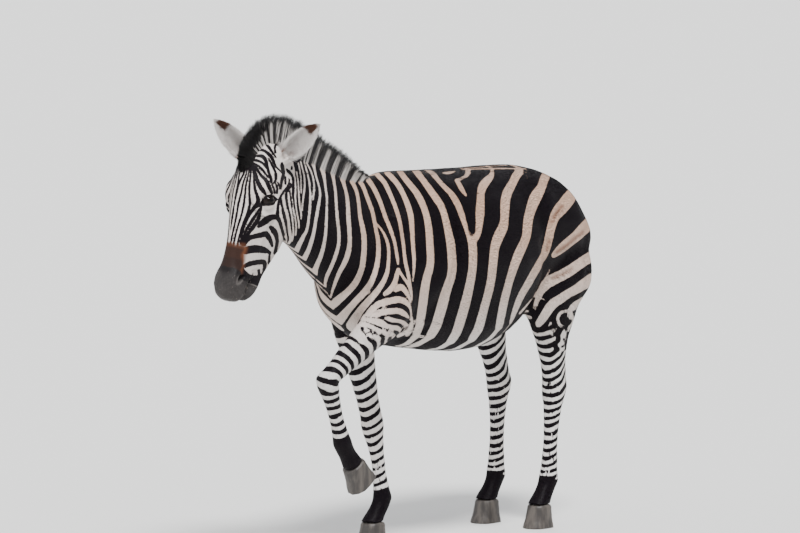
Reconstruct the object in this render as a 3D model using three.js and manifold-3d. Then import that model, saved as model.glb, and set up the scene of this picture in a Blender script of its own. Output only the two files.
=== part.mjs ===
// A life-size plains zebra, walking with its left forefoot lifted.
// Millimetres, +Z up, the floor at z = 0. It faces -X, and its left side is -Y.
// Each mass of the body is a loft of rings. The masses are joined into one body,
// which thin cuts then part into head, neck, trunk, tail and legs.

import * as THREE from "three";
import Module from "manifold-3d";
import { mergeVertices } from "three/addons/utils/BufferGeometryUtils.js";

const wasm = await Module();
wasm.setup();

// ---- driving dimensions ----
const withersHeight = 1300;
const trunkFront = -590; // the breast
const trunkBack = 656; // the point of the buttock
const barrelHalf = 290; // half the width of the barrel
const headLength = 522; // from the poll to the upper lip
const headPitch = 70.5; // degrees below the horizontal
const poll = [-968, 1415]; // x and z of the poll
const eyeRadius = 21;
const earLength = 168;
const cutGap = 0.5; // between one piece of flesh and the next
const fitGap = 0.35; // round the eyes, ears, mane and hooves

// bone lengths of the legs
const forearm = 322;
const foreCannon = 240;
const pastern = 92;
const hoofHeight = 82;

const rad = (degrees) => (degrees * Math.PI) / 180;
const vec = (x, y, z) => new THREE.Vector3(x, y, z);

// ---- solids ----
function toSolid(geometry) {
  const bare = geometry.index ? geometry.toNonIndexed() : geometry.clone();
  bare.deleteAttribute("normal");
  bare.deleteAttribute("uv");
  const merged = mergeVertices(bare, 1e-3);
  return new wasm.Manifold(
    new wasm.Mesh({
      numProp: 3,
      vertProperties: new Float32Array(merged.attributes.position.array),
      triVerts: new Uint32Array(merged.index.array),
    }),
  );
}

function toGeometry(solid) {
  const mesh = solid.getMesh();
  const geometry = new THREE.BufferGeometry();
  geometry.setAttribute("position", new THREE.BufferAttribute(mesh.vertProperties, 3));
  geometry.setIndex(new THREE.BufferAttribute(mesh.triVerts, 1));
  geometry.computeVertexNormals();
  return geometry;
}

// Catmull-Rom through rows of numbers, at t from 0 to rows.length - 1
function splineAt(rows, t) {
  const last = rows.length - 1;
  const i = Math.min(Math.floor(t), last - 1);
  const f = t - i;
  const [a, b, c, d] = [-1, 0, 1, 2].map((k) => rows[Math.min(Math.max(i + k, 0), last)]);
  return b.map(
    (_, j) =>
      0.5 *
      (2 * b[j] +
        (c[j] - a[j]) * f +
        (2 * a[j] - 5 * b[j] + 4 * c[j] - d[j]) * f * f +
        (3 * b[j] - a[j] - 3 * c[j] + d[j]) * f * f * f),
  );
}

// One ring. A station holds its centre, the unit vector towards its fore side,
// its reach to the fore and aft side, and its half width on three levels.
const levels = 0.7; // where the outer half widths are measured, as a share of the reach
function ringPoints(station, segments) {
  const [cx, cy, cz, fx, fy, fz, sx, sy, sz, fore, aft, wFore, wMid, wAft] = station;
  const half = [
    [0, fore],
    [wFore, levels * fore],
    [wMid, (fore - aft) * 0.08],
    [wAft, -levels * aft],
    [0, -aft],
  ];
  const closed = [...half, ...half.slice(1, 4).reverse().map(([w, h]) => [-w, h])];
  const padded = [...closed.slice(-2), ...closed, ...closed.slice(0, 3)];
  const ring = [];
  for (let i = 0; i < segments; i++) {
    const [w, h] = splineAt(padded, 2 + (i * closed.length) / segments);
    ring.push(cx + sx * w + fx * h, cy + sy * w + fy * h, cz + sz * w + fz * h);
  }
  return ring;
}

// A closed solid over a list of rings, with a fan over each end
function skinOver(rings, segments) {
  const positions = rings.flat();
  for (const ring of [rings[0], rings[rings.length - 1]])
    for (const axis of [0, 1, 2]) {
      const along = ring.filter((_, i) => i % 3 === axis);
      positions.push(along.reduce((sum, value) => sum + value, 0) / segments);
    }
  const foot = rings.length * segments;
  const index = [];
  for (let i = 0; i < rings.length - 1; i++)
    for (let j = 0; j < segments; j++) {
      const k = (j + 1) % segments;
      const [a, b] = [i * segments + j, i * segments + k];
      index.push(a, b, a + segments, b, b + segments, a + segments);
    }
  for (let j = 0; j < segments; j++) {
    const k = (j + 1) % segments;
    index.push(foot, k, j, foot + 1, foot - segments + j, foot - segments + k);
  }
  const geometry = new THREE.BufferGeometry();
  geometry.setAttribute("position", new THREE.BufferAttribute(new Float32Array(positions), 3));
  geometry.setIndex(index);
  const solid = toSolid(geometry);
  if (solid.volume() > 0) return solid;
  geometry.setIndex(index.map((_, i) => index[i - (i % 3) + [0, 2, 1][i % 3]]));
  return toSolid(geometry);
}

// A closed loft with a number of steps through its stations
function loft(stations, steps, segments) {
  const rings = [];
  for (let i = 0; i <= steps; i++)
    rings.push(ringPoints(splineAt(stations, (i * (stations.length - 1)) / steps), segments));
  return skinOver(rings, segments);
}

const station = (centre, foreWay, sideWay, reach) => [
  ...centre.toArray(),
  ...foreWay.toArray(),
  ...sideWay.toArray(),
  ...reach,
];
const sideways = vec(0, 1, 0);
const upwards = vec(0, 0, 1);

// ---- trunk ----
// x, top, bottom, half width high, in the middle and low
const trunkSections = [
  [trunkFront - 10, 950, 890, 20, 28, 22],
  [trunkFront, 1000, 852, 56, 80, 56],
  [trunkFront + 28, 1060, 810, 82, 118, 84],
  [-520, 1140, 768, 94, 152, 102],
  [-455, 1236, 726, 96, 186, 120],
  [-370, withersHeight - 4, 704, 104, 215, 136],
  [-260, 1298, 686, 146, 248, 160],
  [-120, 1292, 664, 186, 278, 188],
  [30, 1287, 645, 200, barrelHalf, 202],
  [170, 1285, 655, 202, 282, 190],
  [290, 1282, 700, 196, 258, 150],
  [400, 1274, 760, 186, 244, 128],
  [490, 1251, 818, 174, 234, 134],
  [570, 1208, 868, 134, 202, 132],
  [trunkBack - 30, 1162, 922, 92, 142, 98],
  [trunkBack, 1112, 972, 52, 84, 58],
  [trunkBack + 11, 1070, 1012, 14, 24, 16],
].map(([x, top, bottom, ...widths]) => {
  const reach = (top - bottom) / 2;
  return station(vec(x, 0, bottom + reach), upwards, sideways, [reach, reach, ...widths]);
});

// ---- neck and mane ----
// A row gives x and z of the upper edge, x and z of the lower one, and three half widths.
const sagittalStations = (rows) =>
  rows.map(([upperX, upperZ, lowerX, lowerZ, ...widths]) => {
    const upperWay = vec(upperX - lowerX, 0, upperZ - lowerZ);
    const reach = upperWay.length() / 2;
    const centre = vec((upperX + lowerX) / 2, 0, (upperZ + lowerZ) / 2);
    return station(centre, upperWay.normalize(), sideways, [reach, reach, ...widths]);
  });
const neckSections = sagittalStations([
  [-280, 1262, -470, 800, 84, 160, 105],
  [-410, 1284, -572, 868, 66, 152, 112],
  [-515, 1298, -660, 955, 52, 134, 104],
  [-615, 1335, -732, 1024, 44, 112, 90],
  [-718, 1380, -800, 1074, 40, 96, 78],
  [-820, 1414, -862, 1114, 38, 86, 70],
  [-900, 1430, -918, 1154, 38, 78, 62],
  [-958, 1420, -955, 1215, 34, 62, 50],
]);
// from the withers over the poll to the forelock
const maneSections = sagittalStations([
  [-400, 1288, -385, 1264, 5, 7, 8],
  [-466, 1343, -440, 1268, 9, 17, 21],
  [-547, 1396, -520, 1278, 11, 21, 25],
  [-615, 1434, -595, 1310, 12, 23, 26],
  [-683, 1470, -670, 1342, 12, 23, 26],
  [-745, 1501, -740, 1370, 12, 23, 26],
  [-803, 1525, -805, 1390, 12, 23, 27],
  [-862, 1539, -862, 1402, 13, 24, 28],
  [-935, 1534, -915, 1402, 13, 25, 29],
  [-991, 1513, -945, 1396, 13, 25, 30],
  [-1030, 1484, -965, 1384, 13, 25, 30],
  [-1055, 1449, -980, 1368, 12, 24, 29],
  [-1067, 1410, -1000, 1350, 11, 21, 25],
  [-1068, 1371, -1022, 1338, 8, 15, 18],
  [-1062, 1342, -1040, 1330, 4, 6, 7],
]);

// ---- head ----
// The head's own axis runs from the poll to the lips, and the face lies on its fore side.
const headAxis = vec(-Math.cos(rad(headPitch)), 0, -Math.sin(rad(headPitch)));
const faceWay = vec(-Math.sin(rad(headPitch)), 0, Math.cos(rad(headPitch)));
const headPoint = (along, out, side = 0) =>
  vec(poll[0], side, poll[1]).addScaledVector(headAxis, along).addScaledVector(faceWay, out);
const headStations = (rows) =>
  rows.map(([along, face, jaw, ...widths]) => {
    const reach = (face - jaw) / 2;
    return station(headPoint(along, (face + jaw) / 2), faceWay, sideways, [reach, reach, ...widths]);
  });
// distance along the axis, upper and lower outline, half width at the upper level, middle and lower
const skullSections = headStations([
  [-38, 2, -90, 24, 40, 30],
  [0, 30, -112, 40, 60, 42],
  [43, 45, -132, 54, 73, 48],
  [84, 55, -152, 62, 82, 52],
  [130, 60, -172, 64, 88, 56],
  [178, 60, -190, 58, 90, 60],
  [235, 56, -200, 46, 84, 60],
  [297, 48, -192, 37, 68, 54],
  [345, 42, -160, 33, 56, 46],
  [395, 37, -112, 35, 49, 42],
  [435, 38, -66, 41, 50, 44],
  [475, 35, -60, 43, 51, 45],
  [504, 22, -54, 36, 44, 38],
  [headLength - 4, 2, -40, 16, 25, 20],
]);
const jawSections = headStations([
  [300, -70, -184, 30, 46, 38],
  [350, -64, -162, 32, 46, 40],
  [395, -62, -136, 33, 43, 37],
  [435, -67, -127, 33, 41, 35],
  [465, -65, -119, 32, 39, 31],
  [488, -61, -106, 25, 32, 23],
  [502, -69, -92, 9, 14, 10],
]);
// brow bones, eyeballs and nostrils, as places on the head for one side
const brow = { along: 146, out: -4, side: 56, reach: [72, 42, 38] };
const eyeball = { along: 168, out: -8, side: 76 };
const nostril = { along: 440, out: -4, side: 52, reach: [20, 11, 13] };
function ellipsoid({ along, out, side, reach }, sign) {
  const geometry = new THREE.SphereGeometry(1, 14, 9);
  geometry.scale(reach[0], reach[1], reach[2]);
  const turn = new THREE.Matrix4().makeBasis(headAxis, faceWay, sideways);
  geometry.applyMatrix4(turn);
  geometry.translate(...headPoint(along, out, sign * side).toArray());
  return toSolid(geometry);
}

// ---- ears ----
// A cupped shell along the ear's axis, open towards mouth. A row holds the share of the
// length, the half width, the depth of the cup, the half angle of its arc and its thickness.
const earRows = [
  [-0.16, 24, 22, 178, 21],
  [0.0, 30, 27, 150, 15],
  [0.15, 37, 30, 124, 9],
  [0.34, 41, 29, 108, 7.5],
  [0.54, 39, 24, 98, 7],
  [0.72, 31, 17, 90, 6.5],
  [0.87, 20, 10, 85, 6],
  [1.0, 4, 4, 80, 3],
];
const earPlaces = {
  ear_left: { base: [-906, -64, 1390], tip: [-846, -172, 1504], mouth: [-0.78, -0.5, 0.2] },
  ear_right: { base: [-942, 66, 1388], tip: [-1008, 166, 1512], mouth: [-0.9, -0.1, 0.3] },
};
function ear({ base, tip, mouth }) {
  const axis = vec(...tip).sub(vec(...base)).normalize();
  const open = vec(...mouth);
  open.addScaledVector(axis, -open.dot(axis)).normalize();
  const across = new THREE.Vector3().crossVectors(axis, open);
  const arcSteps = 7;
  const rings = earRows.map(([share, half, depth, arc, wall]) => {
    const centre = vec(...base).addScaledVector(axis, share * earLength);
    const ring = [];
    for (let i = 0; i <= 2 * arcSteps + 1; i++) {
      const inner = i > arcSteps; // out along the back of the ear, and back along its inside
      const step = inner ? 2 * arcSteps + 1 - i : i;
      const angle = rad(arc) * ((2 * step) / arcSteps - 1);
      const [w, d] = inner ? [half - wall, depth - wall] : [half, depth];
      const point = centre.clone().addScaledVector(across, w * Math.sin(angle));
      point.addScaledVector(open, -d * Math.cos(angle));
      ring.push(...point.toArray());
    }
    return ring;
  });
  return skinOver(rings, 2 * arcSteps + 2);
}

// ---- legs ----
// A limb's joints are points. Each row names a bone by its number, the share along it,
// the reach to the fore and aft side, and the half width at fore, middle and aft.
function limb(joints, rows, steps, segments) {
  const points = joints.map((joint) => vec(...joint));
  const ways = points.slice(1).map((point, i) => point.clone().sub(points[i]).normalize());
  const stations = rows.map(([bone, share, ...reach]) => {
    const centre = points[bone].clone().lerp(points[bone + 1], share);
    const near = share < 0.5 ? Math.max(bone - 1, 0) : Math.min(bone + 1, ways.length - 1);
    const weight = Math.abs(share - 0.5) ** 2 * 2;
    const way = ways[bone].clone().lerp(ways[near], weight).normalize();
    const side = vec(0, 1, 0).addScaledVector(way, -way.y).normalize();
    const fore = new THREE.Vector3().crossVectors(side, way).normalize();
    if (fore.x > 0) fore.negate();
    return station(centre, fore, side, reach);
  });
  return loft(stations, steps, segments);
}

const foreRows = [
  [0, 0.0, 60, 70, 14, 20, 16],
  [0, 0.3, 112, 120, 26, 38, 30],
  [0, 0.62, 118, 130, 40, 58, 46],
  [0, 0.85, 106, 112, 46, 66, 50],
  [1, 0.06, 86, 92, 44, 62, 44],
  [1, 0.3, 62, 62, 38, 52, 36],
  [1, 0.6, 48, 50, 30, 42, 28],
  [1, 0.86, 39, 40, 27, 36, 26],
  [1, 1.0, 40, 42, 32, 40, 27],
  [2, 0.14, 37, 40, 30, 37, 25],
  [2, 0.32, 27, 33, 20, 26, 19],
  [2, 0.6, 24, 30, 17, 23, 18],
  [2, 0.84, 26, 33, 20, 27, 22],
  [2, 1.0, 32, 40, 24, 33, 26],
  [3, 0.4, 29, 31, 22, 29, 24],
  [3, 0.8, 33, 34, 26, 34, 29],
  [3, 1.2, 40, 40, 30, 40, 34],
];
const hindRows = [
  [0, 0.0, 90, 90, 30, 44, 32],
  [0, 0.3, 140, 160, 48, 70, 54],
  [0, 0.62, 168, 196, 62, 90, 72],
  [0, 0.9, 146, 194, 62, 94, 76],
  [1, 0.12, 112, 146, 56, 82, 60],
  [1, 0.36, 74, 94, 44, 62, 44],
  [1, 0.62, 50, 68, 33, 45, 30],
  [1, 0.84, 42, 66, 28, 37, 22],
  [1, 1.0, 44, 66, 31, 41, 27],
  [2, 0.12, 38, 50, 30, 38, 26],
  [2, 0.28, 29, 36, 22, 28, 20],
  [2, 0.58, 26, 31, 19, 25, 19],
  [2, 0.86, 28, 35, 21, 28, 23],
  [2, 1.0, 34, 42, 25, 34, 27],
  [3, 0.4, 30, 32, 23, 30, 25],
  [3, 0.8, 34, 35, 27, 35, 30],
  [3, 1.2, 41, 41, 31, 41, 35],
];

// The point that lies a length from another, swung forward in the side view.
const swing = ([x, y, z], length, forward, inward = 0) => [
  x - length * Math.sin(rad(forward)),
  y - Math.sign(y) * inward,
  z - length * Math.cos(rad(forward)),
];

function standingFore(side, elbow) {
  const top = [elbow[0] - 25, side * 128, 1130];
  const knee = swing(elbow, forearm, -6, 54);
  const fetlock = [knee[0] + 22, knee[1] - side * 24, hoofHeight + pastern * 0.82];
  const coronet = [fetlock[0] - pastern * 0.55, fetlock[1], hoofHeight];
  return [top, elbow, knee, fetlock, coronet];
}
function liftedFore(side, elbow) {
  const top = [-400, side * 128, 1140];
  const knee = swing(elbow, forearm, 53, 38);
  const fetlock = swing(knee, foreCannon, -20, 6);
  const coronet = swing(fetlock, pastern, -38);
  return [top, elbow, knee, fetlock, coronet];
}
function hind(side, stifle, hockX) {
  const top = [430, side * 108, 1150];
  const hock = [hockX, side * 118, 490];
  const fetlock = [hockX - 24, side * 112, hoofHeight + pastern * 0.84];
  const coronet = [fetlock[0] - pastern * 0.54, side * 112, hoofHeight];
  return [top, stifle, hock, fetlock, coronet];
}

// The joints of a leg from the top down, where the leg parts from the trunk, as a point and
// the way that the leg goes there, and the reach of its own space along the body.
const legs = {
  foreleg_left: {
    joints: liftedFore(-1, [-494, -154, 822]),
    start: [-580, 0, 760],
    way: [-0.8, 0, -0.6],
    reach: [-900, -440],
  },
  foreleg_right: {
    joints: standingFore(1, [-306, 142, 742]),
    start: [-305, 0, 664],
    way: [0, 0, -1],
    reach: [-500, -160],
  },
  hindleg_left: {
    joints: hind(-1, [398, -150, 830], 474),
    start: [450, 0, 752],
    way: [0.36, 0, -0.933],
    reach: [285, 700],
  },
  hindleg_right: {
    joints: hind(1, [388, 150, 830], 458),
    start: [446, 0, 750],
    way: [0.36, 0, -0.933],
    reach: [285, 700],
  },
};

// ---- hooves ----
// way is the direction from the coronet to the sole, and the toe reaches further than the heel
const soleShare = 0.985; // the last of the hoof is the flat sole
function hoof(coronet, way, fore) {
  const side = new THREE.Vector3().crossVectors(way, fore).normalize();
  const rows = [
    [0.0, 38, 38, 28, 37, 33],
    [0.45, 49, 41, 32, 41, 36],
    [soleShare, 66, 46, 38, 46, 41],
    [1.0, 65, 45, 37, 45, 40],
  ];
  const stations = rows.map(([share, ...reach]) =>
    station(coronet.clone().addScaledVector(way, share * hoofHeight), fore, side, reach),
  );
  return loft(stations, rows.length - 1, 14);
}

// ---- tail ----
// It hangs from the dock, a little to the right, and its lower half is the tuft.
const tailRoute = [
  [606, 2, 1140],
  [646, 3, 1128],
  [678, 5, 1085],
  [682, 8, 1000],
  [664, 12, 880],
  [636, 16, 740],
  [612, 20, 600],
  [602, 22, 500],
];
const tailRows = [
  [0.0, 26, 26, 24],
  [0.1, 25, 24, 23],
  [0.2, 23, 22, 21],
  [0.38, 19, 18, 18],
  [0.52, 22, 22, 22],
  [0.68, 32, 30, 30],
  [0.84, 30, 28, 28],
  [0.94, 20, 18, 18],
  [1.0, 6, 6, 6],
];
function tail() {
  const curve = new THREE.CatmullRomCurve3(tailRoute.map((point) => vec(...point)));
  const stations = tailRows.map(([share, back, front, half]) => {
    const way = curve.getTangentAt(share);
    const side = vec(0, 1, 0).addScaledVector(way, -way.y).normalize();
    const rear = new THREE.Vector3().crossVectors(side, way).normalize();
    if (rear.x < 0) rear.negate();
    return station(curve.getPointAt(share), rear, side, [back, front, half * 0.8, half, half * 0.8]);
  });
  return loft(stations, 12, 10);
}

// ---- the whole body and its cuts ----
// The space on one side of the body that a leg has to itself, past the plane where it parts
const legSpace = { inner: 8, outer: 320, floor: -20, roof: 850 };
function cutter(side, start, way, [xLow, xHigh]) {
  const { inner, outer, floor, roof } = legSpace;
  const geometry = new THREE.BoxGeometry(xHigh - xLow, outer - inner, roof - floor);
  geometry.translate((xLow + xHigh) / 2, (side * (inner + outer)) / 2, (roof + floor) / 2);
  return toSolid(geometry).trimByPlane(way.toArray(), way.dot(start));
}
const shifted = (solid, way, distance) => solid.translate(way.clone().multiplyScalar(distance).toArray());
// what is left of a solid that stands on another, with a small gap
const clearOf = (solid, ground, ways) =>
  ways.reduce((rest, way) => rest.subtract(shifted(ground, way, fitGap)), solid);
const pieces = {};

const trunk = loft(trunkSections, 24, 24);
const neck = loft(neckSections, 12, 20);
let flesh = wasm.Manifold.union([trunk, neck, loft(skullSections, 22, 20), loft(jawSections, 8, 12)]);
for (const sign of [-1, 1]) flesh = flesh.add(ellipsoid(brow, sign)).subtract(ellipsoid(nostril, sign));

const legCuts = {};
for (const [name, { joints, start, way, reach }] of Object.entries(legs)) {
  const lifted = name === "foreleg_left";
  const coronet = vec(...joints[4]);
  const footWay = lifted ? coronet.clone().sub(vec(...joints[3])).normalize() : vec(0, 0, -1);
  const toeWay = vec(footWay.z, 0, -footWay.x);
  const leg = limb(joints, name.startsWith("fore") ? foreRows : hindRows, 20, 12);
  flesh = flesh.add(leg.trimByPlane(footWay.clone().negate().toArray(), -footWay.dot(coronet)));
  const hoofTop = coronet.clone().addScaledVector(footWay, fitGap);
  pieces[name.replace("leg", "hoof")] = hoof(hoofTop, footWay, toeWay);
  const cutWay = vec(...way).normalize();
  legCuts[name] = { cutWay, space: cutter(Math.sign(coronet.y), vec(...start), cutWay, reach) };
}
for (const [name, { space, cutWay }] of Object.entries(legCuts))
  pieces[name] = flesh.intersect(shifted(space, cutWay, cutGap));
for (const { space } of Object.values(legCuts)) flesh = flesh.subtract(space);

// ears, mane and tail stand on the flesh, and the eyes sit in it
const eyes = { eye_left: -1, eye_right: 1 };
for (const [name, sign] of Object.entries(eyes)) {
  const ball = { ...eyeball, reach: [eyeRadius, eyeRadius, eyeRadius] };
  const socket = eyeRadius + fitGap;
  pieces[name] = ellipsoid(ball, sign);
  flesh = flesh.subtract(ellipsoid({ ...ball, reach: [socket, socket, socket] }, sign));
}
for (const [name, place] of Object.entries(earPlaces)) {
  const earWay = vec(...place.tip).sub(vec(...place.base)).normalize();
  pieces[name] = clearOf(ear(place), flesh, [earWay]);
}
pieces.mane = clearOf(loft(maneSections, 18, 10), flesh, [upwards, vec(-1, 0, 0)]);
for (const name of Object.keys(earPlaces))
  pieces.mane = clearOf(pieces.mane, pieces[name], [vec(0, -Math.sign(earPlaces[name].base[1]), 0)]);
pieces.tail = clearOf(tail(), flesh, [vec(1, 0, 0)]);

// the neck parts from the head behind the jaw, and from the trunk from the withers to the breast
const headCut = { point: vec(-864, 0, 1100), way: vec(-1, 0, -0.02).normalize() };
const neckCut = { point: vec(-420, 0, 1290), way: vec(-0.9, 0, 0.436).normalize() };
const apart = (solid, { point, way }) => {
  const offset = way.dot(point);
  return [
    solid.trimByPlane(way.toArray(), offset + cutGap / 2),
    solid.trimByPlane(way.clone().negate().toArray(), cutGap / 2 - offset),
  ];
};
const [frontPart, trunkPart] = apart(flesh, neckCut);
const [headPart, neckPart] = apart(frontPart, headCut);
Object.assign(pieces, { trunk: trunkPart, neck: neckPart, head: headPart });

// ---- scene ----
const finishes = {
  head: [0x9c958c, 0.75],
  neck: [0x8f8880, 0.8],
  trunk: [0x969087, 0.8],
  foreleg: [0xa39d94, 0.8],
  hindleg: [0xa39d94, 0.8],
  forehoof: [0x3a352f, 0.45],
  hindhoof: [0x3a352f, 0.45],
  ear: [0xd8cfc2, 0.85],
  eye: [0x120d0a, 0.12],
  mane: [0x2a2523, 0.9],
  tail: [0x6a635c, 0.85],
};
// the body's middle comes over the origin, and the lowest sole on the floor
const bounds = new THREE.Box3();
for (const solid of Object.values(pieces)) {
  const { min, max } = solid.boundingBox();
  bounds.expandByPoint(vec(...min)).expandByPoint(vec(...max));
}
const middle = bounds.getCenter(new THREE.Vector3());
const root = new THREE.Group();
for (const [name, solid] of Object.entries(pieces)) {
  const [color, roughness] = finishes[name.split("_")[0]];
  const mesh = new THREE.Mesh(
    toGeometry(solid.translate([-middle.x, -middle.y, -bounds.min.z])),
    new THREE.MeshStandardMaterial({ color, roughness, metalness: 0 }),
  );
  mesh.name = name;
  root.add(mesh);
}

export default root;
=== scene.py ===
import math

import bmesh
import bpy
import numpy as np
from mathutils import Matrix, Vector
from mathutils.bvhtree import BVHTree


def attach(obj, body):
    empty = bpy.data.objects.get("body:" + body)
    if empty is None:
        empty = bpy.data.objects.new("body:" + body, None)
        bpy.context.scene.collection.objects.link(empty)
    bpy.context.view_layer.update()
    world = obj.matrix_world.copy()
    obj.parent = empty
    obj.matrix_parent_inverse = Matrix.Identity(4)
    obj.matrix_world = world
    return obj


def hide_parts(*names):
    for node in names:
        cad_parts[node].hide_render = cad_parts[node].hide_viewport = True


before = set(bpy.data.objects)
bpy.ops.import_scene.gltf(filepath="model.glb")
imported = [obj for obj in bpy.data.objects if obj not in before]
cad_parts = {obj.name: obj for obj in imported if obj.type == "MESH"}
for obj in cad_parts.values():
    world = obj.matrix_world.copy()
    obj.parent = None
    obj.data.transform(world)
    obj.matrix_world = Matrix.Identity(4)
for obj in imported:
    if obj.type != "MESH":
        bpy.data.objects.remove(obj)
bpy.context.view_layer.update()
rng = np.random.default_rng(7)


def unit(v):
    v = np.asarray(v, float)
    return v / np.maximum(np.linalg.norm(v, axis=-1, keepdims=True), 1e-9)


def smoothStep(low, high, x):
    t = np.clip((x - low) / (high - low), 0, 1)
    return t * t * (3 - 2 * t)


def pick(settings, name):
    return settings[name]


def ripple(points, size, seed=0.0):  # smooth waves from -1 to 1, with features of about that size
    x, y, z = (np.asarray(points) / size).T
    a = np.sin(x * 2.1 + 1.7 * np.sin(y * 1.3 + seed) + seed) + np.sin(y * 2.6 + 1.3 * np.sin(z * 1.9 - seed))
    b = np.sin(z * 2.3 + 1.5 * np.sin(x * 1.6 + 2 * seed) - seed) + np.sin((x + y + z) * 1.2 + 3 * seed)
    return (a + b) / 4


# the camera
camera = {
    "azimuth": -50, "elevation": 5, "distance": 20.0,
    "focal": 5882, "size": (800, 533),  # in pixels
    "aim": (-0.1733, 0, 1.3003), "aimPixel": (368, 172),
}


def cameraPlace():
    a, e = math.radians(camera["azimuth"]), math.radians(camera["elevation"])
    back = Vector((math.sin(a) * math.cos(e), -math.cos(a) * math.cos(e), math.sin(e)))
    right = Vector((math.cos(a), math.sin(a), 0))
    up = back.cross(right)
    place = Vector(camera["aim"]) + back * camera["distance"]
    scale = camera["distance"] / camera["focal"]
    width, height = camera["size"]
    middle = Vector(camera["aim"]) + right * (width / 2 - camera["aimPixel"][0]) * scale
    middle -= up * (height / 2 - camera["aimPixel"][1]) * scale
    return place, (middle - place).to_track_quat("-Z", "Y")


def makeCamera():
    place, turn = cameraPlace()
    data = bpy.data.cameras.new("camera")
    data.lens = data.sensor_width * camera["focal"] / camera["size"][0]
    data.clip_start, data.clip_end = 1, 400
    thing = bpy.data.objects.new("camera", data)
    thing.location = place
    thing.rotation_mode = "QUATERNION"
    thing.rotation_quaternion = turn
    bpy.context.scene.collection.objects.link(thing)
    bpy.context.scene.camera = thing


def pixelRay(u, v):
    place, turn = cameraPlace()
    width, height = camera["size"]
    way = Vector(((u - width / 2) / camera["focal"], (height / 2 - v) / camera["focal"], -1))
    return place, (turn @ way).normalized()


makeCamera()
print("camera ready")

# measures of the body
headPitch = math.radians(70.5)
poll = np.array((-0.7413, 0, 1.4154))
headAxis = np.array((-math.cos(headPitch), 0, -math.sin(headPitch)))  # from the poll to the lips
faceWay = np.array((-math.sin(headPitch), 0, math.cos(headPitch)))  # out of the face
sideWay = np.array((0, 1.0, 0))
headEnd = -0.637  # x where the head ends behind the jaw
headFloor = 0.85  # nothing below this height is head
# joints from the elbow or stifle down to the top of the hoof
legJoints = {
    "foreleg_left": [
        (-0.267, -0.154, 0.822), (-0.524, -0.116, 0.629), (-0.442, -0.110, 0.403), (-0.386, -0.110, 0.331)],
    "foreleg_right": [
        (-0.079, 0.142, 0.742), (-0.046, 0.088, 0.422), (-0.024, 0.064, 0.158), (-0.074, 0.064, 0.082)],
    "hindleg_left": [
        (0.625, -0.150, 0.830), (0.701, -0.118, 0.490), (0.677, -0.112, 0.160), (0.627, -0.112, 0.082)],
    "hindleg_right": [
        (0.615, 0.150, 0.830), (0.685, 0.118, 0.490), (0.661, 0.112, 0.160), (0.611, 0.112, 0.082)],
}
jointsDown = [0, 0.38, 0.62, 0.80]  # metres down the leg, about the same for all four
ears = {
    "ear_left": {"base": (-0.679, -0.064, 1.390), "tip": (-0.619, -0.172, 1.504), "mouth": (-0.78, -0.5, 0.2)},
    "ear_right": {"base": (-0.715, 0.066, 1.388), "tip": (-0.781, 0.166, 1.512), "mouth": (-0.9, -0.1, 0.3)},
}


def headPoint(along, out, side):  # in millimetres from the poll
    return poll + (headAxis * along + faceWay * out + sideWay * side) / 1000


def headPlaces(points):
    rel = (points - poll) * 1000
    return rel @ headAxis, rel @ faceWay, rel[:, 1]


def isHead(points):
    return (points[:, 0] < headEnd) & (points[:, 2] > headFloor)


def isFine(points):  # the head and the throat, which carry the finest lines
    return (points[:, 0] < -0.585) & (points[:, 2] > headFloor)


def earPlaces(points, normals=None):
    # share along the nearer ear, how much the skin faces its open side, and the way to its tip
    share = np.full(len(points), -1.0)
    opening = np.zeros(len(points))
    tipWay = np.zeros((len(points), 3))
    for ear in ears.values():
        base, tip = np.array(ear["base"]), np.array(ear["tip"])
        axis = unit(tip - base)
        length = np.linalg.norm(tip - base)
        opened = np.array(ear["mouth"]) - axis * np.dot(ear["mouth"], axis)
        rel = points - base
        t = rel @ axis / length
        off = np.linalg.norm(rel - np.outer(rel @ axis, axis), axis=1)
        near = (t > -0.05) & (t < 1.15) & (off < 0.055 - 0.01 * t)
        share[near] = t[near]
        if normals is not None:
            opening[near] = (normals @ unit(opened))[near]
        tipWay[near] = axis
    return share, opening, tipWay


def inEars(points, least=0.02):
    return earPlaces(points)[0] > least


def legPlaces(points):
    # metres down the nearest leg from its elbow or stifle, distance from the bones, way down, and leg number
    best = np.full(len(points), 9.0)
    down = np.zeros(len(points))
    way = np.zeros((len(points), 3))
    which = np.zeros(len(points), int)
    for number, joints in enumerate(legJoints.values()):
        passed = 0.0
        for start, end in zip(joints, joints[1:]):
            start, end = np.array(start), np.array(end)
            bone = end - start
            length = np.linalg.norm(bone)
            t = np.clip((points - start) @ bone / length ** 2, 0, 1)
            distance = np.linalg.norm(points - start - np.outer(t, bone), axis=1)
            nearer = distance < best
            best[nearer] = distance[nearer]
            down[nearer] = passed + (t * length)[nearer]
            way[nearer] = bone / length
            which[nearer] = number
            passed += length
    return down, best, way, which


def boneX(down, which):  # x of the bones that far down the leg
    own = [which == number for number in range(len(legJoints))]
    return np.select(own, [np.interp(down, jointsDown, [p[0] for p in joints]) for joints in legJoints.values()])


# meshes as arrays and back
def linked(name, mesh):
    thing = bpy.data.objects.new(name, mesh)
    bpy.context.scene.collection.objects.link(thing)
    return thing


def meshFrom(bm, name):
    mesh = bpy.data.meshes.new(name)
    bm.to_mesh(mesh)
    bm.free()
    return mesh


def evaluated(thing):
    graph = bpy.context.evaluated_depsgraph_get()
    mesh = bpy.data.meshes.new_from_object(thing.evaluated_get(graph))
    bpy.data.objects.remove(thing)
    return mesh


def pointsOf(mesh):
    co = np.zeros(len(mesh.vertices) * 3, np.float32)
    mesh.vertices.foreach_get("co", co)
    return co.reshape(-1, 3).astype(float)


def setPoints(mesh, points):
    mesh.vertices.foreach_set("co", points.astype(np.float32).ravel())
    mesh.update()


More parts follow.
